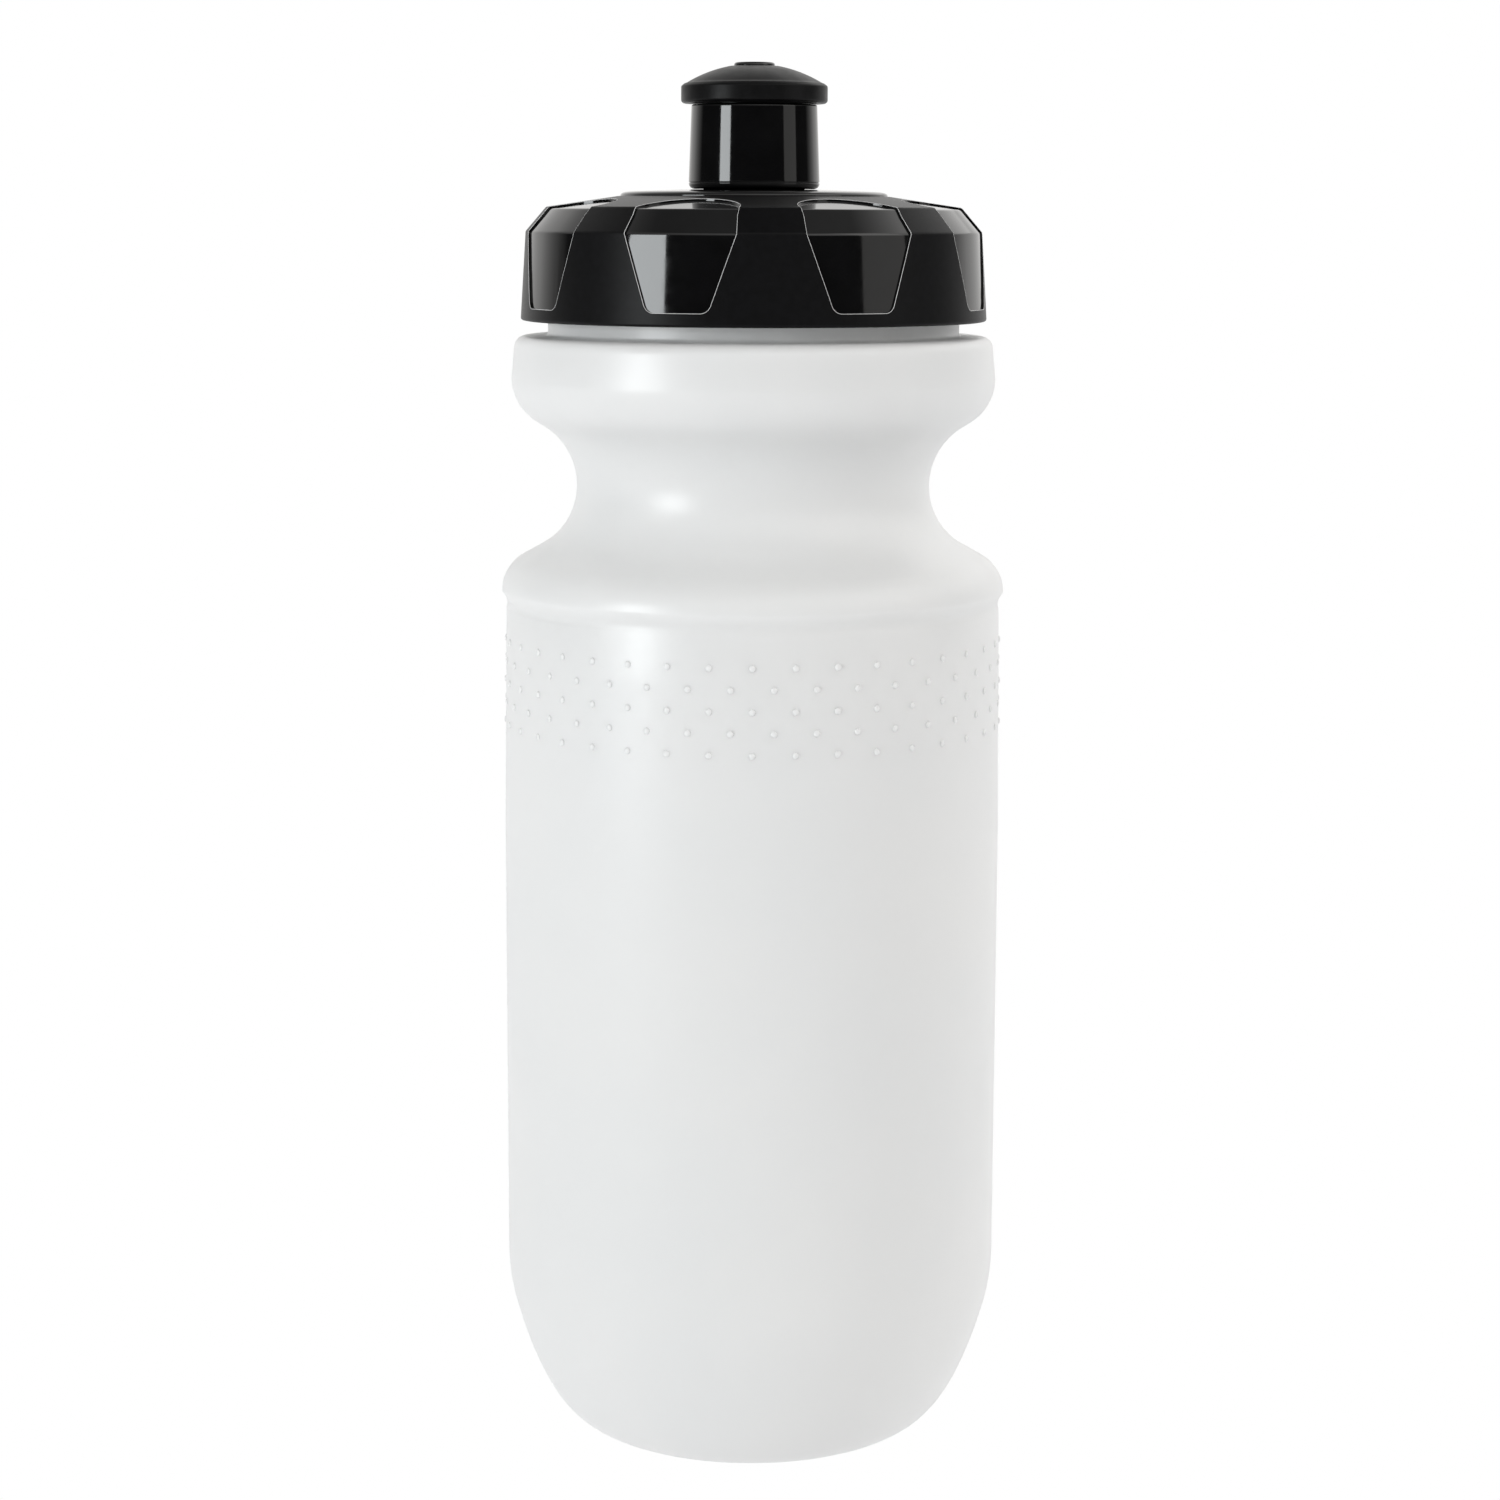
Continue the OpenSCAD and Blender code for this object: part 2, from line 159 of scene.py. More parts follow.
def parallel(path: Sequence[Point], distance: float) -> list[Point]:
    """An outline moved to its left, with each stretch parallel to itself.

    Args:
        path: The outline's corners.
        distance: How far it is moved.

    Returns:
        The moved corners.
    """
    spots = [Vector(p) for p in path]
    across = [Vector((a.y - b.y, b.x - a.x)).normalized() for a, b in zip(spots, spots[1:])]
    befores, afters = [across[0], *across], [*across, across[-1]]
    return [tuple(p + (m + n) * distance / (1 + m.dot(n)))
            for p, m, n in zip(spots, befores, afters)]


def spaced(points: Sequence[Point], longest: float) -> list[Point]:
    """The same outline with long straight stretches divided.

    Args:
        points: The outline.
        longest: Longest stretch that stays whole.

    Returns:
        The outline with points added.
    """
    result = [points[0]]
    for a, b in zip(points, points[1:]):
        parts = max(1, math.ceil(math.dist(a, b) / longest))
        result += [(a[0] + (b[0] - a[0]) * k / parts, a[1] + (b[1] - a[1]) * k / parts)
                   for k in range(1, parts + 1)]
    return result


def held(points: Sequence[Point], distance: float) -> list[Point]:
    """The same outline with points that keep the shading of its long stretches flat.

    Args:
        points: The outline.
        distance: Distance of the added points from both ends of a stretch.

    Returns:
        The outline with points added to stretches longer than four such distances.
    """
    result = [points[0]]
    for a, b in zip(points, points[1:]):
        start, end = Vector(a), Vector(b)
        length = (end - start).length
        if length > 4 * distance:
            share = distance / length
            result += [tuple(start.lerp(end, share)), tuple(end.lerp(start, share))]
        result.append(b)
    return result


# ---------------------------------------------------------------- modelling


def deselect() -> None:
    """Leaves object mode with nothing selected."""
    if bpy.context.mode != "OBJECT":
        bpy.ops.object.mode_set(mode="OBJECT")
    bpy.ops.object.select_all(action="DESELECT")


def focus(obj: Object) -> None:
    """Makes one object the only selected and active one.

    Args:
        obj: The object.
    """
    deselect()
    obj.select_set(True)
    bpy.context.view_layer.objects.active = obj


def edit(obj: Object, mode: str = "VERT", select: bool = True) -> None:
    """Opens an object in edit mode.

    Args:
        obj: The object.
        mode: Kind of element that is selected.
        select: Whether everything starts selected.
    """
    focus(obj)
    bpy.ops.object.mode_set(mode="EDIT")
    bpy.ops.mesh.select_mode(type=mode)
    bpy.ops.mesh.select_all(action="SELECT" if select else "DESELECT")


def newest(name: str) -> Object:
    """Names the object that was just added, and settles its place in its mesh.

    Args:
        name: Name of the piece.

    Returns:
        The object.
    """
    obj = bpy.context.object
    obj.name = name
    obj.data.name = name
    bpy.ops.object.transform_apply(location=True, rotation=True, scale=True)
    return obj


def mend(obj: Object) -> None:
    """Merges doubled points and turns every face outwards.

    Args:
        obj: The piece.
    """
    edit(obj)
    bpy.ops.mesh.remove_doubles(threshold=WELD)
    bpy.ops.mesh.normals_make_consistent(inside=False)
    bpy.ops.object.mode_set(mode="OBJECT")


def shade(obj: Object, shading: Shading) -> None:
    """Shades a mesh smooth across all edges under the given angle."""
    focus(obj)
    bpy.ops.object.shade_smooth_by_angle(angle=math.radians(shading.value))


def turned(name: str, outline: Sequence[Point], segments: int = 128) -> Object:
    """A turned piece, extruded ring by ring along its outline.

    A point on the axis closes that end of the piece.

    Args:
        name: Name of the piece.
        outline: Radius and height of each ring.
        segments: Number of faces around.

    Returns:
        The piece, with its faces outwards.
    """
    rings = [(max(r, WELD), z) for r, z in outline]
    first_r, first_z = rings[0]
    deselect()
    bpy.ops.mesh.primitive_circle_add(vertices=segments, radius=first_r, location=(0, 0, first_z))
    obj = newest(name)
    edit(obj, "EDGE")
    for (r, z), (next_r, next_z) in zip(rings, rings[1:]):
        bpy.ops.mesh.extrude_edges_move(TRANSFORM_OT_translate={"value": (0, 0, next_z - z)})
        grow = next_r / r
        bpy.ops.transform.resize(value=(grow, grow, 1), center_override=(0, 0, next_z))
    mend(obj)
    return obj


def bar(name: str, low: Sequence[float], high: Sequence[float], edge: float) -> Object:
    """A bar between two corners, with bevelled edges.

    Args:
        name: Name of the piece.
        low: Its lowest corner.
        high: Its highest corner.
        edge: Width of the bevel.

    Returns:
        The bar.
    """
    middle = [(a + b) / 2 for a, b in zip(low, high)]
    sides = [b - a for a, b in zip(low, high)]
    deselect()
    bpy.ops.mesh.primitive_cube_add(size=1, location=middle, scale=sides)
    obj = newest(name)
    bevel(obj, edge, 2)
    return obj


def bevel(obj: Object, width: float, segments: int, angle: float = 25.0) -> None:
    """Rounds the sharp edges of a piece.

    Args:
        obj: The piece.
        width: Width of the rounding.
        segments: Number of faces across it.
        angle: Edges sharper than this, in degrees, are rounded.
    """
    modifier = obj.modifiers.new("rounding", "BEVEL")
    modifier.width = width
    modifier.segments = segments
    modifier.limit_method = "ANGLE"
    modifier.angle_limit = math.radians(angle)
    modifier.use_clamp_overlap = False
    modifier.miter_outer = "MITER_ARC"
    focus(obj)
    bpy.ops.object.modifier_apply(modifier=modifier.name)


def combine(obj: Object, other: Object, operation: str) -> None:
    """Cuts, joins or intersects a piece with another, which is used up.

    Args:
        obj: The piece that stays.
        other: The piece that is used up.
        operation: DIFFERENCE, UNION or INTERSECT.
    """
    modifier = obj.modifiers.new("cut", "BOOLEAN")
    modifier.operation = operation
    modifier.solver = "MANIFOLD"
    modifier.object = other
    modifier.material_mode = "TRANSFER"
    focus(obj)
    bpy.ops.object.modifier_apply(modifier=modifier.name)
    bpy.data.objects.remove(other)


def joined(name: str, parts: Iterable[Object]) -> Object:
    """Joins parts into one piece.

    Args:
        name: Name of the piece.
        parts: The parts, which are used up.

    Returns:
        The piece.
    """
    members = list(parts)
    focus(members[0])
    for part in members[1:]:
        part.select_set(True)
    bpy.ops.object.join()
    obj = bpy.context.object
    obj.name = name
    obj.data.name = name
    return obj


def around(obj: Object, count: int, step: float) -> None:
    """Repeats a mesh around the Z axis within its own object.

    Args:
        obj: The object that holds the first copy.
        count: Number of copies in all.
        step: Angle from one copy to the next, in degrees.
    """
    edit(obj)
    for _ in range(count - 1):
        bpy.ops.mesh.duplicate()
        turn_selected(step)
    bpy.ops.object.mode_set(mode="OBJECT")


def turn_selected(degrees: float) -> None:
    """Turns what is selected in edit mode anticlockwise about the Z axis, seen from above."""
    bpy.ops.transform.rotate(value=-math.radians(degrees), orient_axis="Z",
                             center_override=(0, 0, 0))


def finish_piece(obj: Object, body: Body, finish: "Finish", nodes: Sequence[str] = (),
                 shading: Shading = Shading.SOFT) -> Object:
    """Shades and dresses a piece and makes it ride on its body.

    Args:
        obj: The piece.
        body: The body that it moves with.
        finish: Its finish.
        nodes: Construction nodes that it stands for.
        shading: How it is shaded.

    Returns:
        The piece.
    """
    shade(obj, shading)
    if not obj.data.materials:
        obj.data.materials.append(finish.material())
    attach(obj, body.value)
    if nodes:
        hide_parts(*nodes)
    LOG.info("%s: %d faces on %s", obj.name, len(obj.data.polygons), body.value)
    return obj


# ---------------------------------------------------------------- finishes


class Nodes:
    """Adds and links the nodes of one material."""

    def __init__(self, tree: NodeTree) -> None:
        """Keeps the tree that the nodes go into."""
        self.tree = tree

    def add(self, kind: str, **sockets: object) -> Node:
        """Adds a node.

        Args:
            kind: Type of the node.
            sockets: Values for its inputs, by name with spaces as underscores.

        Returns:
            The node.
        """
        node = self.tree.nodes.new(kind)
        self.fill(node, **sockets)
        return node

    def fill(self, node: Node, **sockets: object) -> None:
        """Sets inputs of a node, by name with spaces as underscores."""
        for name, value in sockets.items():
            node.inputs[name.replace("_", " ")].default_value = value

    def link(self, source: Node, output: str, target: Node, socket: str) -> None:
        """Links an output of one node to an input of another."""
        self.tree.links.new(source.outputs[output], target.inputs[socket])

    def noise(self, scale: float, detail: float = 2.0, roughness: float = 0.5) -> Node:
        """Adds noise that reads the object's own coordinates.

        Args:
            scale: Number of lumps in a metre.
            detail: How many finer layers it has.
            roughness: Weight of the finer layers.

        Returns:
            The noise node.
        """
        place = self.add("ShaderNodeTexCoord")
        noise = self.add("ShaderNodeTexNoise", Scale=scale, Detail=detail, Roughness=roughness)
        self.link(place, "Object", noise, "Vector")
        return noise

    def mapped(self, source: Node, output: str, ends: Point, values: Point) -> Node:
        """Adds a node that maps a value from one range to another.

        Args:
            source: Node that gives the value.
            output: Name of its output.
            ends: Both ends of the value's range.
            values: What the ends become.

        Returns:
            The node.
        """
        node = self.add("ShaderNodeMapRange", From_Min=ends[0], From_Max=ends[1],
                        To_Min=values[0], To_Max=values[1])
        self.link(source, output, node, "Value")
        return node

    def colour(self, shader: Node, noise: Node, tints: tuple[Colour, Colour]) -> None:
        """Gives a shader a colour that follows a noise.

        Args:
            shader: The shader.
            noise: The noise.
            tints: Colours at the noise's low and high values.
        """
        ramp = self.add("ShaderNodeValToRGB")
        for element, position, tint in zip(ramp.color_ramp.elements, (0.35, 0.65), tints):
            element.position = position
            element.color = (*tint, 1.0)
        self.link(noise, "Fac", ramp, "Fac")
        self.link(ramp, "Color", shader, "Base Color")

    def gloss(self, shader: Node, noise: Node, roughness: Point) -> None:
        """Gives a shader a roughness that follows the middle of a noise's range.

        Args:
            shader: The shader.
            noise: The noise.
            roughness: Roughness at the noise's low and high values.
        """
        spread = self.mapped(noise, "Fac", (0.3, 0.7), roughness)
        self.link(spread, "Result", shader, "Roughness")

    def bump(self, shader: Node, noise: Node, height: float, strength: float,
             after: Node | None = None) -> Node:
        """Gives a shader a bump from a noise.

        Args:
            shader: The shader.
            noise: The noise.
            height: Height of the bump.
            strength: Its strength.
            after: Another bump that it adds to.

        Returns:
            The bump node.
        """
        node = self.add("ShaderNodeBump", Strength=strength, Distance=height)
        self.link(noise, "Fac", node, "Height")
        if after:
            self.link(after, "Normal", node, "Normal")
        self.link(node, "Normal", shader, "Normal")
        return node


@dataclass(frozen=True)
class Finish:
    """A finish that a piece can have.

    Attributes:
        name: Name of the material.
        slot: The record's material slot that it belongs to; not used.
        tints: Darkest and lightest colour.
        roughness: Least and greatest roughness.
        ior: Index of refraction.
    """

    name: str
    slot: str
    tints: tuple[Colour, Colour]
    roughness: Point
    ior: float

    def material(self) -> Material:
        """The material of this finish, made the first time it is asked for.

        Returns:
            The material.
        """
        found = bpy.data.materials.get(self.name)
        if found:
            return found
        made = bpy.data.materials.new(self.name)
        made.use_nodes = True
        made.node_tree.nodes.clear()
        nodes = Nodes(made.node_tree)
        shader = nodes.add("ShaderNodeBsdfPrincipled", IOR=self.ior)
        output = nodes.add("ShaderNodeOutputMaterial")
        nodes.link(shader, "BSDF", output, "Surface")
        self.dress(nodes, shader)
        return made

    def dress(self, nodes: Nodes, shader: Node) -> None:
        """Sets the shader of this finish.

        Args:
            nodes: Where its nodes are added.
            shader: The shader that it sets.
        """
        raise NotImplementedError


@dataclass(frozen=True)
class MilkyPolyethylene(Finish):
    """Blow-moulded polyethylene, milky and slightly see-through.

    Attributes:
        clouds: Lumps of its cloudiness in a metre.
        patches: Duller and shinier patches in a metre.
        waves: Lumps of its waviness in a metre.
        wave_h: Height of the waves.
        grain: Lumps of its fine grain in a metre.
        grain_h: Height of the grain.
        scatter: Share of the light that scatters inside the wall.
        scatter_depth: How far that light goes.
        clear: Share of the light that passes through.
    """

    name: str = "milky_polyethylene"
    slot: str = "milky_ldpe"
    tints: tuple[Colour, Colour] = ((0.90, 0.91, 0.912), (0.93, 0.935, 0.93))
    roughness: Point = (0.3, 0.37)
    ior: float = 1.51
    clouds: float = 28.0
    patches: float = 180.0
    waves: float = 45.0
    wave_h: float = 0.15 * MM
    grain: float = 2600.0
    grain_h: float = 0.01 * MM
    scatter: float = 0.45
    scatter_depth: float = 3 * MM
    clear: float = 0.22

    def dress(self, nodes: Nodes, shader: Node) -> None:
        """Cloudy white that lets light into its wall, with a soft shine and a faint waviness.

        Args:
            nodes: Where its nodes are added.
            shader: The shader that it sets.
        """
        nodes.colour(shader, nodes.noise(self.clouds, 3.0), self.tints)
        nodes.gloss(shader, nodes.noise(self.patches), self.roughness)
        wave = nodes.bump(shader, nodes.noise(self.waves, 1.0), self.wave_h, 0.25)
        nodes.bump(shader, nodes.noise(self.grain), self.grain_h, 0.2, wave)
        nodes.fill(shader, Subsurface_Weight=self.scatter, Subsurface_Radius=(1.0, 1.0, 1.0),
                   Subsurface_Scale=self.scatter_depth, Transmission_Weight=self.clear)


@dataclass(frozen=True)
class DensePolyethylene(Finish):
    """The body's polyethylene where it is thick and lets no light through, as in the grip dots.

    Attributes:
        clouds: Lumps of its cloudiness in a metre.
        patches: Duller and shinier patches in a metre.
        grain: Lumps of its fine grain in a metre.
        grain_h: Height of the grain.
        reflection: Strength of its reflection, where 0.5 is usual.
    """

    name: str = "dense_polyethylene"
    slot: str = "milky_ldpe"
    tints: tuple[Colour, Colour] = ((0.73, 0.735, 0.74), (0.76, 0.76, 0.76))
    roughness: Point = (0.3, 0.37)
    ior: float = 1.51
    clouds: float = 28.0
    patches: float = 180.0
    grain: float = 2600.0
    grain_h: float = 0.01 * MM
    reflection: float = 0.35

    def dress(self, nodes: Nodes, shader: Node) -> None:
        """Cloudy white with the body's soft shine.

        Args:
            nodes: Where its nodes are added.
            shader: The shader that it sets.
        """
        nodes.colour(shader, nodes.noise(self.clouds, 3.0), self.tints)
        nodes.gloss(shader, nodes.noise(self.patches), self.roughness)
        nodes.bump(shader, nodes.noise(self.grain), self.grain_h, 0.2)
        nodes.fill(shader, Specular_IOR_Level=self.reflection)


@dataclass(frozen=True)
class TexturedPolypropylene(Finish):
    """Black polypropylene from a spark-eroded mould.

    Attributes:
        specks: Lighter and darker specks in a metre.
        grain: Lumps of the eroded grain in a metre.
        grain_h: Height of the grain.
        reflection: Strength of its reflection, where 0.5 is usual.
    """

    name: str = "textured_polypropylene"
    slot: str = "black_pp"
    tints: tuple[Colour, Colour] = ((0.002, 0.002, 0.0023), (0.003, 0.003, 0.0035))
    roughness: Point = (0.32, 0.4)
    ior: float = 1.49
    specks: float = 900.0
    grain: float = 5200.0
    grain_h: float = 0.03 * MM
    reflection: float = 0.1

    def dress(self, nodes: Nodes, shader: Node) -> None:
        """Near-black with a fine grain that its roughness follows.

        Args:
            nodes: Where its nodes are added.
            shader: The shader that it sets.
        """
        grain = nodes.noise(self.grain, 3.0, 0.6)
        nodes.colour(shader, nodes.noise(self.specks), self.tints)
        nodes.gloss(shader, grain, self.roughness)
        nodes.bump(shader, grain, self.grain_h, 0.3)
        nodes.fill(shader, Specular_IOR_Level=self.reflection)


@dataclass(frozen=True)
class PolishedPolypropylene(Finish):
    """Black polypropylene from a polished mould.

    Attributes:
        specks: Lighter and darker specks in a metre.
        haze: Patches of slight haze in a metre.
        ripples: Lumps of its ripple in a metre.
        ripple_h: Height of the ripple.
    """

    name: str = "polished_polypropylene"
    slot: str = "gloss_black_pp"
    tints: tuple[Colour, Colour] = ((0.002, 0.002, 0.0022), (0.003, 0.003, 0.0033))
    roughness: Point = (0.05, 0.09)
    ior: float = 1.5
    specks: float = 300.0
    haze: float = 700.0
    ripples: float = 120.0
    ripple_h: float = 0.02 * MM

    def dress(self, nodes: Nodes, shader: Node) -> None:
        """Near-black with a clear shine that ripples slightly.

        Args:
            nodes: Where its nodes are added.
            shader: The shader that it sets.
        """
        nodes.colour(shader, nodes.noise(self.specks), self.tints)
        nodes.gloss(shader, nodes.noise(self.haze, 4.0), self.roughness)
        nodes.bump(shader, nodes.noise(self.ripples, 1.0), self.ripple_h, 0.25)


@dataclass(frozen=True)
class SoftElastomer(Finish):
    """Soft black elastomer that the mouth holds.

    Attributes:
        dust: Dusty patches in a metre.
        grain: Lumps of its fine grain in a metre.
        grain_h: Height of the grain.
        reflection: Strength of its reflection, where 0.5 is usual.
    """

    name: str = "soft_elastomer"
    slot: str = "soft_black_tpe"
    tints: tuple[Colour, Colour] = ((0.002, 0.002, 0.0022), (0.004, 0.004, 0.0044))
    roughness: Point = (0.32, 0.42)
    ior: float = 1.46
    dust: float = 420.0
    grain: float = 3000.0
    grain_h: float = 0.02 * MM
    reflection: float = 0.12

    def dress(self, nodes: Nodes, shader: Node) -> None:
        """Near-black with a dull, slightly dusty surface.

        Args:
            nodes: Where its nodes are added.
            shader: The shader that it sets.
        """
        dust = nodes.noise(self.dust, 4.0, 0.65)
        nodes.colour(shader, dust, self.tints)
        nodes.gloss(shader, dust, self.roughness)
        nodes.bump(shader, nodes.noise(self.grain, 3.0), self.grain_h, 0.3)
        nodes.fill(shader, Specular_IOR_Level=self.reflection)


@dataclass(frozen=True)
class SealSilicone(Finish):
    """Grey silicone of the seals.

    Attributes:
        clouds: Lumps of its cloudiness in a metre.
        patches: Duller and shinier patches in a metre.
        scatter: Share of the light that scatters inside it.
        scatter_depth: How far that light goes.
    """

    name: str = "seal_silicone"
    slot: str = "seal_silicone"
    tints: tuple[Colour, Colour] = ((0.10, 0.10, 0.105), (0.14, 0.14, 0.145))
    roughness: Point = (0.38, 0.5)
    ior: float = 1.5
    clouds: float = 260.0
    patches: float = 1500.0
    scatter: float = 0.1
    scatter_depth: float = 1 * MM

    def dress(self, nodes: Nodes, shader: Node) -> None:
        """Dark grey satin with a faint cloudiness.

        Args:
            nodes: Where its nodes are added.
            shader: The shader that it sets.
        """
        nodes.colour(shader, nodes.noise(self.clouds, 3.0), self.tints)
        nodes.gloss(shader, nodes.noise(self.patches), self.roughness)
        nodes.fill(shader, Subsurface_Weight=self.scatter, Subsurface_Scale=self.scatter_depth)


MILKY = MilkyPolyethylene()
DENSE = DensePolyethylene()
TEXTURED = TexturedPolypropylene()
POLISHED = PolishedPolypropylene()
SOFT = SoftElastomer()
SEAL = SealSilicone()


# ---------------------------------------------------------------- thread


@dataclass
class Thread:
    """A screw thread: a bar of trapezium section on a helix.

    Attributes:
        root_r: Radius of the wall that carries it.
        start_z: Height of the middle of its lower end.
        outward: Whether it stands out of the wall or inwards from it.
        pitch: Rise in one turn.
        turns: Length in turns.
        depth: Depth beyond the wall.
        root_h: Height at the wall.
        crest_h: Height at the crest.
        steps: Number of pieces in one turn.
        sink: How far it reaches into the wall.
        edge: Width of its rounded edges.
        lead: Number of rings over which each end thins out.
    """

    root_r: float
    start_z: float
    outward: bool = True
    pitch: float = 5 * MM
    turns: float = 1.25
    depth: float = 1.3 * MM
    root_h: float = 2 * MM
    crest_h: float = 0.9 * MM
    steps: int = 90
    sink: float = 0.4 * MM
    edge: float = 0.2 * MM
    lead: int = 7

    def build(self, name: str) -> Object:
        """Screws the section up the helix and thins out both ends.

        Args:
            name: Name of the piece.

        Returns:
            The thread.
        """
        side = 1 if self.outward else -1
        inner = self.root_r - side * self.sink
        crest = self.root_r + side * self.depth
        deselect()
        bpy.ops.mesh.primitive_plane_add(size=1, rotation=(math.pi / 2, 0, 0))
        obj = newest(name)
        edit(obj, "FACE")
        bpy.ops.mesh.delete(type="ONLY_FACE")
        bpy.ops.object.mode_set(mode="OBJECT")
        for vertex in obj.data.vertices:
            at_crest = vertex.co.x > 0
            height = self.crest_h if at_crest else self.root_h
            up = 1 if vertex.co.z > 0 else -1
            vertex.co = (crest if at_crest else inner, 0, self.start_z + up * height / 2)
        screw = obj.modifiers.new("helix", "SCREW")
        screw.angle = 2 * math.pi * self.turns
        screw.screw_offset = self.pitch * self.turns
        screw.steps = screw.render_steps = self.steps
        screw.use_merge_vertices = False
        focus(obj)
        bpy.ops.object.modifier_apply(modifier=screw.name)
        self._thin_ends(obj, crest)
        edit(obj, "EDGE", select=False)
        bpy.ops.mesh.select_non_manifold()
        bpy.ops.mesh.fill()
        mend(obj)
        bevel(obj, self.edge, 3)
        return obj

    def _thin_ends(self, obj: Object, crest: float) -> None:
        """Draws the crest back into the wall over the first and last rings.

        Args:
            obj: The thread.
            crest: Radius of the crest.
        """
        corners = 4
        rings = len(obj.data.vertices) // corners
        for index, vertex in enumerate(obj.data.vertices):
            ring = index // corners
            share = min(1.0, ring / self.lead, (rings - 1 - ring) / self.lead)
            radius = math.hypot(vertex.co.x, vertex.co.y)
            at_crest = abs(radius - crest) < 0.05 * MM
            if share < 1 and at_crest:
                target = self.root_r + (crest - self.root_r) * share
                vertex.co.x *= target / radius
                vertex.co.y *= target / radius


# ---------------------------------------------------------------- bottle


@dataclass
class Bottle:
    """The blow-moulded body with its grip, its neck and its thread.

    Attributes:
        barrel_r: Radius of the straight barrel.
        barrel_top: Height of the barrel's upper end.
        taper_w: How much narrower the barrel is there.
        taper_h: Height of the part that narrows.
        foot_h: Height at which the barrel turns in towards the base.
        foot_slope: Slope of the wall under that height, in degrees from upright.
        foot_round: Half the height over which the barrel turns in.
        base_ring_r: Outer radius of the ring that the bottle stands on.
        base_ring_w: Width of that ring.
        base_dish: Height of the dish in the base.
        dish_r: Radius around which the dish bends down to the ring.
        wall: Thickness of the body.
        groove_h: Half the height of the groove under the ridge.
        groove_depth: Depth of the point that the groove bends towards.
        ridge_proud: How far the ridge stands out of the barrel's upper end.
        ridge_rise: Height of the ridge's widest place above the barrel.
        ridge_round: Rounding of the ridge.
        ridge_flank: Steepest turn of the flank between ridge and waist, in degrees.
        waist_r: Radius of the waist.
        waist_round: Rounding of the waist.
        bulge_r: Radius of the bulge above the waist.
        bulge_round: Rounding of the bulge's lower side.
        bulge_flank: Steepest turn of the flank between waist and bulge, in degrees.
        bulge_lean: How much narrower the bulge is at the shoulder.
        shoulder_round: Rounding of the shoulder.
        neck_r: Radius of the neck.
        neck_h: Height of the neck above the shoulder.
        collar_h: Height of the collar at the neck's foot.
        collar_proud: How far the collar stands out of the neck.
        thread_rise: Height of the thread's lower end above the collar.
        segments: Number of faces around.
    """

    barrel_r: float = 36.75 * MM
    barrel_top: float = 125 * MM
    taper_w: float = 0.4 * MM
    taper_h: float = 33 * MM
    foot_h: float = 22.2 * MM
    foot_slope: float = 15.7
    foot_round: float = 4 * MM
    base_ring_r: float = 23.3 * MM
    base_ring_w: float = 3 * MM
    base_dish: float = 3 * MM
    dish_r: float = 14 * MM
    wall: float = 1.3 * MM
    groove_h: float = 0.8 * MM
    groove_depth: float = 0.25 * MM
    ridge_proud: float = 0.6 * MM
    ridge_rise: float = 1.4 * MM
    ridge_round: float = 5.6 * MM
    ridge_flank: float = 61.0
    waist_r: float = 25.9 * MM
    waist_round: float = 10.2 * MM
    bulge_r: float = 35.35 * MM
    bulge_round: float = 7.3 * MM
    bulge_flank: float = 58.0
    bulge_lean: float = 0.4 * MM
    shoulder_round: float = 1.7 * MM
    neck_r: float = 28.6 * MM
    neck_h: float = 14.8 * MM
    collar_h: float = 3 * MM
    collar_proud: float = 1.4 * MM
    thread_rise: float = 2.3 * MM
    segments: int = 160

    @property
    def shoulder_z(self) -> float:
        """Height of the shoulder, from the neck's rim down."""
        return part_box("bottle")[1][2] - self.neck_h

    def barrel_at(self, z: float) -> float:
        """Radius of the barrel at a height.

        Args:
            z: The height.

        Returns:
            The radius.
        """
        start = self.barrel_top - self.taper_h
        share = (z - start) / (self.taper_h - self.groove_h)
        return self.barrel_r - self.taper_w * min(max(share, 0.0), 1.0)

    def _rise(self, outer_r: float, rounding: float, turn: float) -> float:
        """Rise from a rounding's centre to the waist's, with a straight flank between them.

        Args:
            outer_r: Largest radius of the rounding.
            rounding: Radius of the rounding.
            turn: Turn of the flank in degrees.

        Returns:
            The rise.
        """
        across = self.waist_r + self.waist_round - (outer_r - rounding)
        angle = math.radians(turn)
        return (rounding + self.waist_round - across * math.cos(angle)) / math.sin(angle)

    def _foot(self) -> list[Point]:
        """The outside from the base's centre to the straight barrel.

        Returns:
            The outline's points.
        """
        slope = math.tan(math.radians(self.foot_slope))
        low = (self.barrel_r - self.foot_round * slope, self.foot_h - self.foot_round)
        point = (low[0] - low[1] * slope, 0)
        high = (self.barrel_r, self.foot_h + self.foot_round)
        ring = self.base_ring_r - self.base_ring_w
        return [
            *curve((0, self.base_dish), (self.dish_r, self.base_dish), (ring, 0), 10),
            *curve((self.base_ring_r, 0), point, low, 20),
            *curve(low, (self.barrel_r, self.foot_h), high, 8)[1:],
        ]

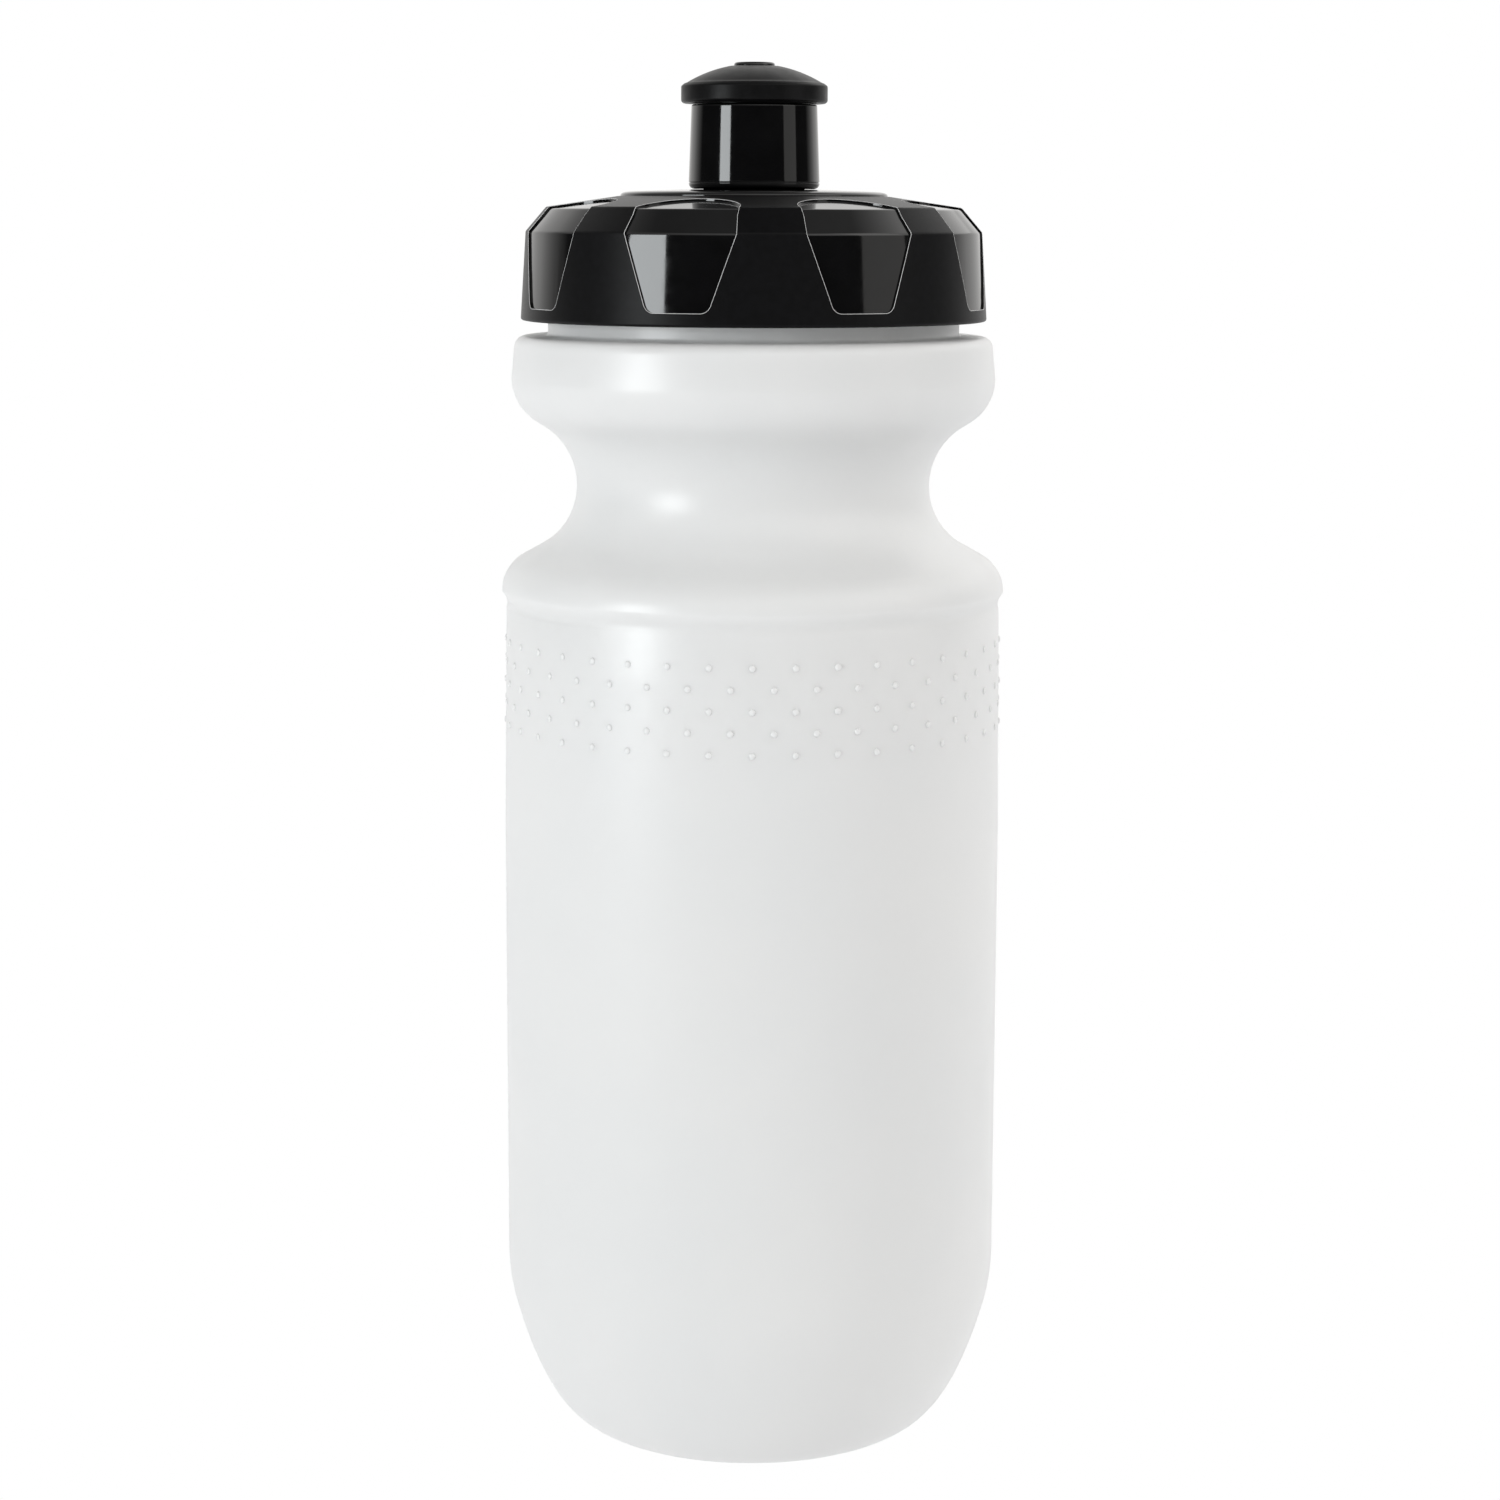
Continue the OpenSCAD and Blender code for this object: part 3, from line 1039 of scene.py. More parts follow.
    def outline(self) -> list[Point]:
        """The outside from the base's centre to the neck's rim.

        Returns:
            The outline's points.
        """
        end_r = self.barrel_r - self.taper_w
        ridge_r = end_r + self.ridge_proud
        ridge_z = self.barrel_top + self.ridge_rise
        waist_z = ridge_z + self._rise(ridge_r, self.ridge_round, self.ridge_flank)
        bulge_z = waist_z + self._rise(self.bulge_r, self.bulge_round, self.bulge_flank)
        groove_r, groove_z = end_r - self.groove_depth, self.barrel_top - self.groove_h / 2
        shoulder_r = self.bulge_r - self.shoulder_round - self.bulge_lean
        collar_r = self.neck_r + self.collar_proud
        shoulder = self.shoulder_z
        return [
            *self._foot(),
            (self.barrel_r, self.barrel_top - self.taper_h),
            *curve((end_r, groove_z - self.groove_h), (groove_r, groove_z),
                   (end_r, groove_z + self.groove_h), 8),
            *arc((ridge_r - self.ridge_round, ridge_z), self.ridge_round, 0, self.ridge_flank, 14),
            *arc((self.waist_r + self.waist_round, waist_z), self.waist_round,
                 180 + self.ridge_flank, 180 - self.bulge_flank, 30),
            *arc((self.bulge_r - self.bulge_round, bulge_z), self.bulge_round,
                 -self.bulge_flank, 0, 14),
            *arc((shoulder_r, shoulder - self.shoulder_round), self.shoulder_round, 4, 90, 8),
            *rounded([
                (collar_r + 2.6 * MM, shoulder, 0), (collar_r, shoulder, 0.5 * MM),
                (collar_r, shoulder + self.collar_h - self.collar_proud / 2, 0.4 * MM),
                (self.neck_r, shoulder + self.collar_h, 0.3 * MM),
                (self.neck_r, shoulder + self.neck_h, 0),
            ]),
        ]

    def build(self) -> None:
        """Builds the shell with its thread, and the grip dots."""
        shell = turned("bottle_shell", spaced(self.outline(), 8 * MM), self.segments)
        solid = shell.modifiers.new("wall", "SOLIDIFY")
        solid.thickness = self.wall
        solid.offset = -1
        focus(shell)
        bpy.ops.object.modifier_apply(modifier=solid.name)
        finish_piece(shell, Body.BOTTLE, MILKY, ["bottle"])
        start = self.shoulder_z + self.collar_h + self.thread_rise
        thread = Thread(self.neck_r, start).build("neck_thread")
        finish_piece(thread, Body.BOTTLE, MILKY)
        GripDots(self).build()


@dataclass
class GripDots:
    """Rows of small raised dots around the barrel, each row set between the dots of the last.

    Attributes:
        bottle: The bottle that carries them.
        columns: Number of dots in a row.
        rows: Number of rows.
        first_z: Height of the lowest row.
        row_pitch: Distance from one row to the next.
        dot_r: Radius of a dot.
        proud: Height of a dot.
    """

    bottle: Bottle
    columns: int = 38
    rows: int = 5
    first_z: float = 107.2 * MM
    row_pitch: float = 3.04 * MM
    dot_r: float = 0.5 * MM
    proud: float = 0.25 * MM

    def build(self) -> None:
        """Models one dot, repeats it into a row, and the row up the barrel."""
        radius = self.bottle.barrel_at(self.first_z)
        deselect()
        bpy.ops.mesh.primitive_uv_sphere_add(
            segments=10, ring_count=6, radius=self.dot_r, location=(0, -radius, self.first_z),
            rotation=(math.pi / 2, 0, 0), scale=(1, 1, self.proud / self.dot_r))
        obj = newest("grip_dots")
        around(obj, self.columns, 360 / self.columns)
        edit(obj)
        for row in range(1, self.rows):
            bpy.ops.mesh.duplicate()
            bpy.ops.transform.translate(value=(0, 0, self.row_pitch))
            turn_selected(180 / self.columns * (1 if row % 2 else -1))
            next_radius = self.bottle.barrel_at(self.first_z + row * self.row_pitch)
            shrink = next_radius / radius
            bpy.ops.transform.resize(value=(shrink, shrink, 1), center_override=(0, 0, 0))
            radius = next_radius
        bpy.ops.object.mode_set(mode="OBJECT")
        finish_piece(obj, Body.BOTTLE, DENSE)


# ---------------------------------------------------------------- lid


@dataclass
class Lid:
    """The screw lid with its ribs, smooth panels and inner thread.

    Attributes:
        skirt_bottom_r: Radius of the skirt at its lower edge.
        skirt_top_r: Radius of the skirt at its chamfer.
        chamfer_w: Width of the chamfer.
        chamfer_h: Height of the chamfer.
        top_t: Thickness of the top at its edge.
        cone_rise: How far the cone on top rises from the edge to the spout's collar.
        collar_r: Radius of the recess for the spout's collar.
        collar_sunk: Depth of that recess.
        hub_r: Radius of the hole for the spout's hub.
        inner_r: Radius inside the skirt.
        crease: Rounding between skirt, chamfer and cone.
        panels: Number of smooth panels.
        panel_turn: Angle that the panels are turned by, in degrees.
        panel_top_w: Width of a panel at the chamfer.
        panel_bottom_w: Width of a panel at its lower edge.
        panel_corner: How far the rounding of a lower corner reaches along its sides.
        panel_rise: Height of the panels' lower edge above the skirt's.
        panel_arch_r: Radius of the arch behind a panel.
        panel_depth: Depth of the panels.
        rim_r: Radius of the fine rim around a panel.
        rim_sunk: How far the rims sink inwards and down, in rim radii.
        far: How far out the tools that cut the panels reach.
        tall: How high those tools reach.
        hold: Distance of the points that keep the shading flat from the ends of a stretch.
        thread_rise: Height of the thread's lower end above the skirt's edge.
        segments: Number of faces around.
    """

    skirt_bottom_r: float = 33.95 * MM
    skirt_top_r: float = 33.15 * MM
    chamfer_w: float = 3 * MM
    chamfer_h: float = 3.5 * MM
    top_t: float = 2.2 * MM
    cone_rise: float = 1.6 * MM
    collar_r: float = 19.44 * MM
    collar_sunk: float = 1.5 * MM
    hub_r: float = 12.04 * MM
    inner_r: float = 30.4 * MM
    crease: float = 0.6 * MM
    panels: int = 8
    panel_turn: float = 4.2
    panel_top_w: float = 16.3 * MM
    panel_bottom_w: float = 9 * MM
    panel_corner: float = 1.05 * MM
    panel_rise: float = 1.9 * MM
    panel_arch_r: float = 7.6 * MM
    panel_depth: float = 0.3 * MM
    rim_r: float = 0.032 * MM
    rim_sunk: Point = (0.7, 0.4)
    far: float = 60 * MM
    tall: float = 20 * MM
    hold: float = 0.2 * MM
    thread_rise: float = 1.3 * MM
    segments: int = 192

    def __post_init__(self) -> None:
        """Reads the lid's heights from the frame, and works out its outside."""
        self.low_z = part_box("screw_lid")[0][2]
        self.seat_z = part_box("lid_gasket")[1][2]
        self.edge_z = self.seat_z + self.top_t
        self.cone_z = self.edge_z + self.cone_rise
        self.chamfer_z = self.edge_z - self.chamfer_h
        self.edge_r = self.skirt_top_r - self.chamfer_w
        side = [(self.skirt_bottom_r, self.low_z), (self.skirt_top_r, self.chamfer_z),
                (self.edge_r, self.edge_z), (self.collar_r, self.cone_z)]
        self.panel_side = parallel(side, self.panel_depth)
        self.panel_edge_z = self.panel_side[1][1]

    def section(self) -> list[Point]:
        """The lid's half section, starting under its top.

        Returns:
            The section's points.
        """
        seat = self.cone_z - self.collar_sunk
        return held(rounded([
            (self.hub_r, self.seat_z, 0.15 * MM), (self.hub_r, seat, 0),
            (self.collar_r, seat, 0), (self.collar_r, self.cone_z, 0.15 * MM),
            (self.edge_r, self.edge_z, self.crease),
            (self.skirt_top_r, self.chamfer_z, self.crease),
            (self.skirt_bottom_r, self.low_z + 0.1 * MM, 0.35 * MM),
            (self.skirt_bottom_r - 0.6 * MM, self.low_z, 0.15 * MM),
            (self.inner_r, self.low_z, 0.2 * MM), (self.inner_r, self.seat_z, 0.3 * MM),
        ], closed=True), self.hold)

    def panel_space(self) -> Object:
        """The space outside the panels' faces, which lie parallel to skirt, chamfer and cone.

        Returns:
            The space, as a turned piece.
        """
        low, skirt, edge, cone = self.panel_side
        top = self.edge_z + self.tall
        return turned("panel_space", held(rounded([
            (*low, 0), (*skirt, self.crease), (*edge, self.crease), (*cone, 0),
            (cone[0], top, 0), (self.far, top, 0), (self.far, low[1], 0), (*low, 0),
        ]), self.hold), self.segments)

    def panel_front(self) -> Object:
        """A wedge with the outline of a panel's face: wide at the top, its lower corners rounded.

        Returns:
            The wedge.
        """
        low = self.low_z + self.panel_rise
        height = self.panel_edge_z - low
        deselect()
        bpy.ops.mesh.primitive_plane_add(size=height, location=(0, 0, low + height / 2),
                                         rotation=(math.pi / 2, 0, 0))
        wedge = newest("panel_front")
        edit(wedge, "EDGE")
        bpy.ops.transform.resize(value=(self.panel_top_w / height, 1, 1))
        bpy.ops.mesh.select_all(action="DESELECT")
        self._select_edges(wedge, low)
        narrow = self.panel_bottom_w / self.panel_top_w
        bpy.ops.transform.resize(value=(narrow, 1, 1))
        bpy.ops.mesh.select_mode(type="VERT")
        bpy.ops.mesh.bevel(offset=self.panel_corner, segments=6, affect="VERTICES")
        bpy.ops.mesh.select_all(action="SELECT")
        bpy.ops.mesh.extrude_region_move(TRANSFORM_OT_translate={"value": (0, -self.far, 0)})
        mend(wedge)
        return wedge

    def _select_edges(self, obj: Object, z: float) -> None:
        """Selects the edges at one height.

        Args:
            obj: The object, open in edit mode.
            z: The height.
        """
        bpy.ops.object.mode_set(mode="OBJECT")
        points = obj.data.vertices
        for point in points:
            point.select = abs(point.co.z - z) < 0.01 * MM
        for line in obj.data.edges:
            line.select = all(points[i].select for i in line.vertices)
        bpy.ops.object.mode_set(mode="EDIT")

    def panel_top(self) -> Object:
        """An upright block with the outline of a panel's chamfer and the arch behind it.

        Returns:
            The block.
        """
        side = self.panel_top_w / 2
        break_y = -math.sqrt(self.skirt_top_r ** 2 - side ** 2)
        middle_z = self.panel_edge_z + self.tall / 2
        deselect()
        bpy.ops.mesh.primitive_cylinder_add(
            vertices=72, radius=self.panel_arch_r, depth=self.tall,
            location=(0, -self.edge_r, middle_z))
        arch = newest("panel_top")
        deselect()
        length = -break_y - self.edge_r
        bpy.ops.mesh.primitive_cube_add(
            size=1, scale=(2 * self.panel_arch_r, length, self.tall),
            location=(0, -self.edge_r - length / 2, middle_z))
        block = newest("panel_block")
        edit(block, "FACE", select=False)
        bpy.ops.object.mode_set(mode="OBJECT")
        for face in block.data.polygons:
            face.select = face.normal.y < -0.9
        bpy.ops.object.mode_set(mode="EDIT")
        bpy.ops.transform.resize(value=(self.panel_top_w / (2 * self.panel_arch_r), 1, 1))
        bpy.ops.mesh.extrude_region_move(TRANSFORM_OT_translate={"value": (0, -25 * MM, 0)})
        bpy.ops.object.mode_set(mode="OBJECT")
        combine(arch, block, "UNION")
        return arch

    def build(self) -> None:
        """Turns the lid, cuts its panels, rounds its edges and adds its thread."""
        lid = turned("screw_lid_shell", self.section(), self.segments)
        lid.data.materials.append(TEXTURED.material())
        cutter = self.panel_front()
        combine(cutter, self.panel_top(), "UNION")
        combine(cutter, self.panel_space(), "INTERSECT")
        mend(cutter)
        cutter.data.materials.clear()
        cutter.data.materials.append(POLISHED.material())
        edit(cutter)
        turn_selected(self.panel_turn + 180 / self.panels)
        around(cutter, self.panels, 360 / self.panels)
        combine(lid, cutter, "DIFFERENCE")
        mend(lid)
        lid = joined("screw_lid_shell", [lid, self.panel_rims(lid)])
        finish_piece(lid, Body.LID, TEXTURED, ["screw_lid"], Shading.CRISP)
        thread = Thread(self.inner_r, self.low_z + self.thread_rise, outward=False)
        finish_piece(thread.build("lid_thread"), Body.LID, TEXTURED)

    def panel_rims(self, lid: Object) -> Object:
        """Fine round rims where the polished panels meet the textured ribs.

        Args:
            lid: The lid with its panels cut.

        Returns:
            The rims, sunk so that they hardly stand out.
        """
        polished = lid.data.materials.find(POLISHED.name)
        finishes: dict[tuple[int, ...], set[int]] = {}
        for face in lid.data.polygons:
            for key in face.edge_keys:
                finishes.setdefault(key, set()).add(face.material_index)
        edit(lid, "EDGE", select=False)
        bpy.ops.object.mode_set(mode="OBJECT")
        for line in lid.data.edges:
            line.select = len(finishes[tuple(sorted(line.vertices))]) == 2
            for index in line.vertices if line.select else ():
                lid.data.vertices[index].select = True
        bpy.ops.object.mode_set(mode="EDIT")
        bpy.ops.mesh.duplicate()
        bpy.ops.mesh.separate(type="SELECTED")
        bpy.ops.object.mode_set(mode="OBJECT")
        rims = next(o for o in bpy.context.selected_objects if o is not lid)
        focus(rims)
        bpy.ops.object.convert(target="CURVE")
        rims.data.bevel_depth = self.rim_r
        rims.data.bevel_resolution = 3
        bpy.ops.object.convert(target="MESH")
        for face in rims.data.polygons:
            face.material_index = polished
        edit(rims)
        inwards, down = self.rim_sunk
        sink = 1 - inwards * self.rim_r / self.skirt_top_r
        bpy.ops.transform.resize(value=(sink, sink, 1), center_override=(0, 0, 0))
        bpy.ops.transform.translate(value=(0, 0, -down * self.rim_r))
        mend(rims)
        return rims


@dataclass
class Gasket:
    """The flat ring between the neck's rim and the lid.

    Attributes:
        inner_r: Radius of its hole.
        edge: Rounding of its edges.
    """

    inner_r: float = 26.6 * MM
    edge: float = 0.2 * MM

    def build(self) -> None:
        """Turns the ring with slightly rounded edges."""
        (_, _, low), (outer, _, high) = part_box("lid_gasket")
        section = [(self.inner_r, low), (outer, low), (outer, high), (self.inner_r, high)]
        ring = turned("lid_gasket_ring", rounded([(*c, self.edge) for c in section], closed=True))
        finish_piece(ring, Body.GASKET, SEAL, ["lid_gasket"])


# ---------------------------------------------------------------- spout and valve


@dataclass
class Spout:
    """The snap-in spout: polished collar, hub, stem, and the pin with its plug.

    Attributes:
        collar_r: Radius of the collar on the lid.
        collar_edge_t: Thickness of the collar at its edge.
        collar_round_w: Width of the collar's rounded edge.
        collar_round_h: Height of the collar's rounded edge.
        collar_rise: How far the collar rises from its edge to the stem.
        shelf_r: Radius of the level shelf around the stem.
        hub_r: Radius of the hub that goes through the lid.
        snap_bead: How far the hub's bead stands out under the lid.
        stem_r: Outer radius of the stem.
        stem_bore_r: Radius inside the stem.
        stop_bead: How far the bead that stops the valve stands out of the stem.
        stop_bead_h: Height of that bead.
        stop_gap: Height of that bead's lower side above the closed sleeve's lower end.
        valve_gap: Gap between the shelf and the closed sleeve.
        pin_r: Radius of the pin.
        plug_r: Radius of the plug.
        plug_h: Height of the plug.
        dimple: Depth of the dimple in the plug's top.
        spokes: Number of spokes that hold the pin.
        spoke_w: Width of a spoke.
        spoke_h: Height of a spoke's upper side above the hub's lower end.
        spoke_lift: Height of a spoke's lower side there.
        spoke_sunk: How far a spoke reaches into the hub.
        segments: Number of faces around.
    """

    collar_r: float = 19.4 * MM
    collar_edge_t: float = 2.15 * MM
    collar_round_w: float = 2 * MM
    collar_round_h: float = 0.6 * MM
    collar_rise: float = 0.25 * MM
    shelf_r: float = 11.1 * MM
    hub_r: float = 12 * MM
    snap_bead: float = 0.6 * MM
    stem_r: float = 7.3 * MM
    stem_bore_r: float = 5.8 * MM
    stop_bead: float = 0.8 * MM
    stop_bead_h: float = 1.6 * MM
    stop_gap: float = 8.48 * MM
    valve_gap: float = 0.1 * MM
    pin_r: float = 1.8 * MM
    plug_r: float = 2.95 * MM
    plug_h: float = 3 * MM
    dimple: float = 0.12 * MM
    spokes: int = 3
    spoke_w: float = 1.4 * MM
    spoke_h: float = 2.4 * MM
    spoke_lift: float = 0.2 * MM
    spoke_sunk: float = 0.4 * MM
    segments: int = 144

    def build(self) -> None:
        """Builds the hub, the pin and the spokes, and joins them."""
        parts = (self._hub(), self._pin(), self._spokes())
        moulding = joined("spout_moulding", parts)
        finish_piece(moulding, Body.LID, POLISHED, ["spout"], Shading.CRISP)

    def _hub(self) -> Object:
        """The hub with its collar and stem.

        Returns:
            The hub.
        """
        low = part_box("spout")[0][2]
        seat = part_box("lid_gasket")[1][2]
        sleeve_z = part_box("valve_sleeve")[0][2]
        top = sleeve_z - self.valve_gap
        edge = top - self.collar_rise
        under = edge - self.collar_edge_t
        stop_z = sleeve_z + self.stop_gap
        stop_r = self.stem_r + self.stop_bead
        stem_top = stop_z + self.stop_bead_h
        rounding = curve((self.collar_r, edge - self.collar_round_h), (self.collar_r, edge),
                         (self.collar_r - self.collar_round_w, edge), 10)
        return turned("spout_hub", rounded([
            (self.stem_bore_r, low, 0.2 * MM), (self.hub_r, low, 0.1 * MM),
            (self.hub_r + self.snap_bead, seat, 0.1 * MM), (self.hub_r, seat, 0),
            (self.hub_r, under, 0), (self.collar_r, under, 0),
            *((r, z, 0) for r, z in rounding),
            (self.shelf_r, top, 0.6 * MM), (self.stem_r, top, 0.2 * MM),
            (self.stem_r, stop_z, 0.15 * MM), (stop_r, stop_z, 0.15 * MM),
            (stop_r, stem_top - self.stop_bead, 0.3 * MM),
            (self.stem_r, stem_top, 0.2 * MM), (self.stem_bore_r, stem_top, 0.3 * MM),
        ], closed=True), self.segments)

    def _pin(self) -> Object:
        """The pin, whose plug closes the mouthpiece.

        Returns:
            The pin.
        """
        (_, _, low), (_, _, high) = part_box("spout")
        plug_z = high - self.plug_h
        return turned("spout_pin", [
            (0, low),
            *rounded([
                (0.5 * MM, low, 0), (self.pin_r, low, 0.2 * MM),
                (self.pin_r, plug_z - self.plug_r + self.pin_r, 0.3 * MM),
                (self.plug_r, plug_z, 0.3 * MM), (self.plug_r, high, 0.35 * MM),
                (self.plug_r * 0.5, high - self.dimple / 2, 0.3 * MM),
                (0.4 * MM, high - self.dimple, 0),
            ]),
            (0, high - self.dimple),
        ], 64)

    def _spokes(self) -> Object:
        """The spokes that hold the pin in the hub.

        Returns:
            The spokes.
        """
        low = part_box("spout")[0][2]
        reach = self.stem_bore_r + self.spoke_sunk
        spokes = bar("spout_spokes", (0, -self.spoke_w / 2, low + self.spoke_lift),
                     (reach, self.spoke_w / 2, low + self.spoke_h), 0.15 * MM)
        edit(spokes)
        turn_selected(180 / self.spokes)
        around(spokes, self.spokes, 360 / self.spokes)
        return spokes


@dataclass
class SealRing:
    """The ring that the sleeve carries along the stem."""

    def build(self) -> None:
        """Turns the ring's round section."""
        (_, _, low), (outer, _, high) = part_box("valve_o_ring")
        thick = (high - low) / 2
        section = arc((outer - thick, low + thick), thick, 0, 360, 16)
        ring = turned("valve_seal_ring", section, 96)
        finish_piece(ring, Body.SEAL, SEAL, ["valve_o_ring"])


@dataclass
class Valve:
    """The push-pull valve: a hard polished sleeve and a soft mouthpiece.

    Attributes:
        bottom_r: Outer radius of the sleeve at its lower end.
        top_r: Outer radius of the sleeve at its upper end.
        sleeve_h: Height of the sleeve up to the mouthpiece.
        lip_h: Height of the lip inside the sleeve's lower end.
        lip_r: Radius inside that lip.
        bore_r: Radius inside the sleeve.
        floor_t: Thickness of the sleeve's top under the mouthpiece.
        bottom_round: Rounding of the sleeve's lower edge.
        line_rise: Height of the fine line above that rounding.
        line_w: Width of the fine line.
        line_depth: Depth of the fine line.
        hold: Distance of the points that keep the shading flat from the ends of a stretch.
        neck_r: Radius of the sleeve's neck inside the mouthpiece.
        neck_h: Height of that neck.
        mouth_r: Radius inside that neck.
        flange_r: Radius of the mouthpiece's flange.
        flange_bevel: How far inside the flange's edge the dome starts.
        flange_step: Height of the small step where the dome starts.
        rim_h: Height of the flange's upright edge.
        dome_r: Radius of the mouthpiece's dome.
        mouth_lip_w: Width of the level lip around the mouthpiece's hole.
        hole_r: Radius of the hole that the plug closes.
        fit: Gap between the sleeve and the mouthpiece.
        segments: Number of faces around.
    """

    bottom_r: float = 9.5 * MM
    top_r: float = 9.1 * MM
    sleeve_h: float = 12 * MM
    lip_h: float = 2.4 * MM
    lip_r: float = 7.38 * MM
    bore_r: float = 8.18 * MM
    floor_t: float = 1.2 * MM
    bottom_round: float = 0.8 * MM
    line_rise: float = 0.03 * MM
    line_w: float = 0.2 * MM
    line_depth: float = 0.14 * MM
    hold: float = 0.2 * MM
    neck_r: float = 7.6 * MM
    neck_h: float = 3 * MM
    mouth_r: float = 4.55 * MM
    flange_r: float = 10.6 * MM
    flange_bevel: float = 0.5 * MM
    flange_step: float = 0.08 * MM
    rim_h: float = 2.45 * MM
    dome_r: float = 19 * MM
    mouth_lip_w: float = 0.6 * MM
    hole_r: float = 3.03 * MM
    fit: float = 0.04 * MM
    segments: int = 128

    def build(self) -> None:
        """Builds the sleeve and the mouthpiece."""
        self._sleeve()
        self._mouthpiece()

    def _sleeve(self) -> None:
        """Turns the sleeve, with the fine groove above its rounded lower edge."""
        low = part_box("valve_sleeve")[0][2]
        top = low + self.sleeve_h
        neck_top = top + self.neck_h
        lip_top = low + self.lip_h
        line = low + self.bottom_round + self.line_rise
        line_r = self.bottom_r - self.line_depth
        floor = top - self.floor_t
        sleeve = turned("valve_sleeve_shell", held(rounded([
            (self.lip_r, low, 0.15 * MM), (self.bottom_r, low, self.bottom_round),
            (self.bottom_r, line, 0.03 * MM), (line_r, line + self.line_w / 2, 0.03 * MM),
            (self.bottom_r, line + self.line_w, 0.05 * MM), (self.top_r, top, 0.25 * MM),
            (self.neck_r, top, 0.1 * MM), (self.neck_r, neck_top, 0.2 * MM),
            (self.mouth_r, neck_top, 0.2 * MM), (self.mouth_r, floor, 0.2 * MM),
            (self.bore_r, floor, 0.2 * MM), (self.bore_r, lip_top, 0.15 * MM),
            (self.lip_r, lip_top, 0.2 * MM),
        ], closed=True), self.hold), self.segments)
        finish_piece(sleeve, Body.VALVE, POLISHED, ["valve_sleeve"], Shading.CRISP)

    def _mouthpiece(self) -> None:
        """Turns the mushroom-shaped mouthpiece with the hole that the plug closes."""
        (_, _, low), (_, _, high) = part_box("mouthpiece")
        rim = low + self.rim_h
        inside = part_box("valve_sleeve")[1][2] + self.fit
        neck = self.neck_r + self.fit
        lip = self.hole_r + self.mouth_lip_w
        dome_edge = self.flange_r - self.flange_bevel
        dome = (0, high - math.sqrt(self.dome_r ** 2 - lip ** 2))
        start = math.degrees(math.acos(dome_edge / self.dome_r))
        end = math.degrees(math.acos(lip / self.dome_r))
        first, *above = arc(dome, self.dome_r, start + 1, end, 14)
        mouthpiece = turned("mouthpiece_shell", [
            (neck, low + 0.2 * MM),
            *rounded([
                (neck, low, 0), (neck + 0.3 * MM, low, 0.1 * MM), (self.flange_r, low, 0.5 * MM),
                (self.flange_r, rim, 0.4 * MM),
                (dome_edge, first[1] - self.flange_step, 0.4 * MM), (*first, 0),
            ], steps=6),
            *above,
            *rounded([
                (lip, high, 0), (self.hole_r, high, 0.3 * MM), (self.hole_r, inside, 0.1 * MM),
                (neck, inside, 0.1 * MM), (neck, low + 0.2 * MM, 0),
            ])[1:],
        ], self.segments)
        finish_piece(mouthpiece, Body.VALVE, SOFT, ["mouthpiece"])


# ---------------------------------------------------------------- studio


@dataclass
class Softbox:
    """A soft rectangular light that faces the bottle.

    Attributes:
        name: Name of the light.
        azimuth: Its direction in degrees, 0 in front and positive to the right.
        distance: Distance from the bottle's axis.
        height: Height of its middle.
        size: Width and height.
        power: Power in watts.
        colour: Colour of the light.
        aim_z: Height on the bottle's axis that it faces.
    """

    name: str
    azimuth: float
    distance: float
    height: float
    size: Point
    power: float
    colour: Colour
    aim_z: float = 0.12

    def build(self) -> None:
        """Adds the light."""
        angle = math.radians(self.azimuth)
        out = self.distance
        place = Vector((out * math.sin(angle), -out * math.cos(angle), self.height))
        aim = Vector((0, 0, self.aim_z)) - place
        light = bpy.data.lights.new(self.name, "AREA")
        light.shape = "RECTANGLE"
        light.size, light.size_y = self.size
        light.energy = self.power
        light.color = self.colour
        lamp = bpy.data.objects.new(self.name, light)
        lamp.location = place
        lamp.rotation_euler = aim.to_track_quat("-Z", "Y").to_euler()
        bpy.context.scene.collection.objects.link(lamp)


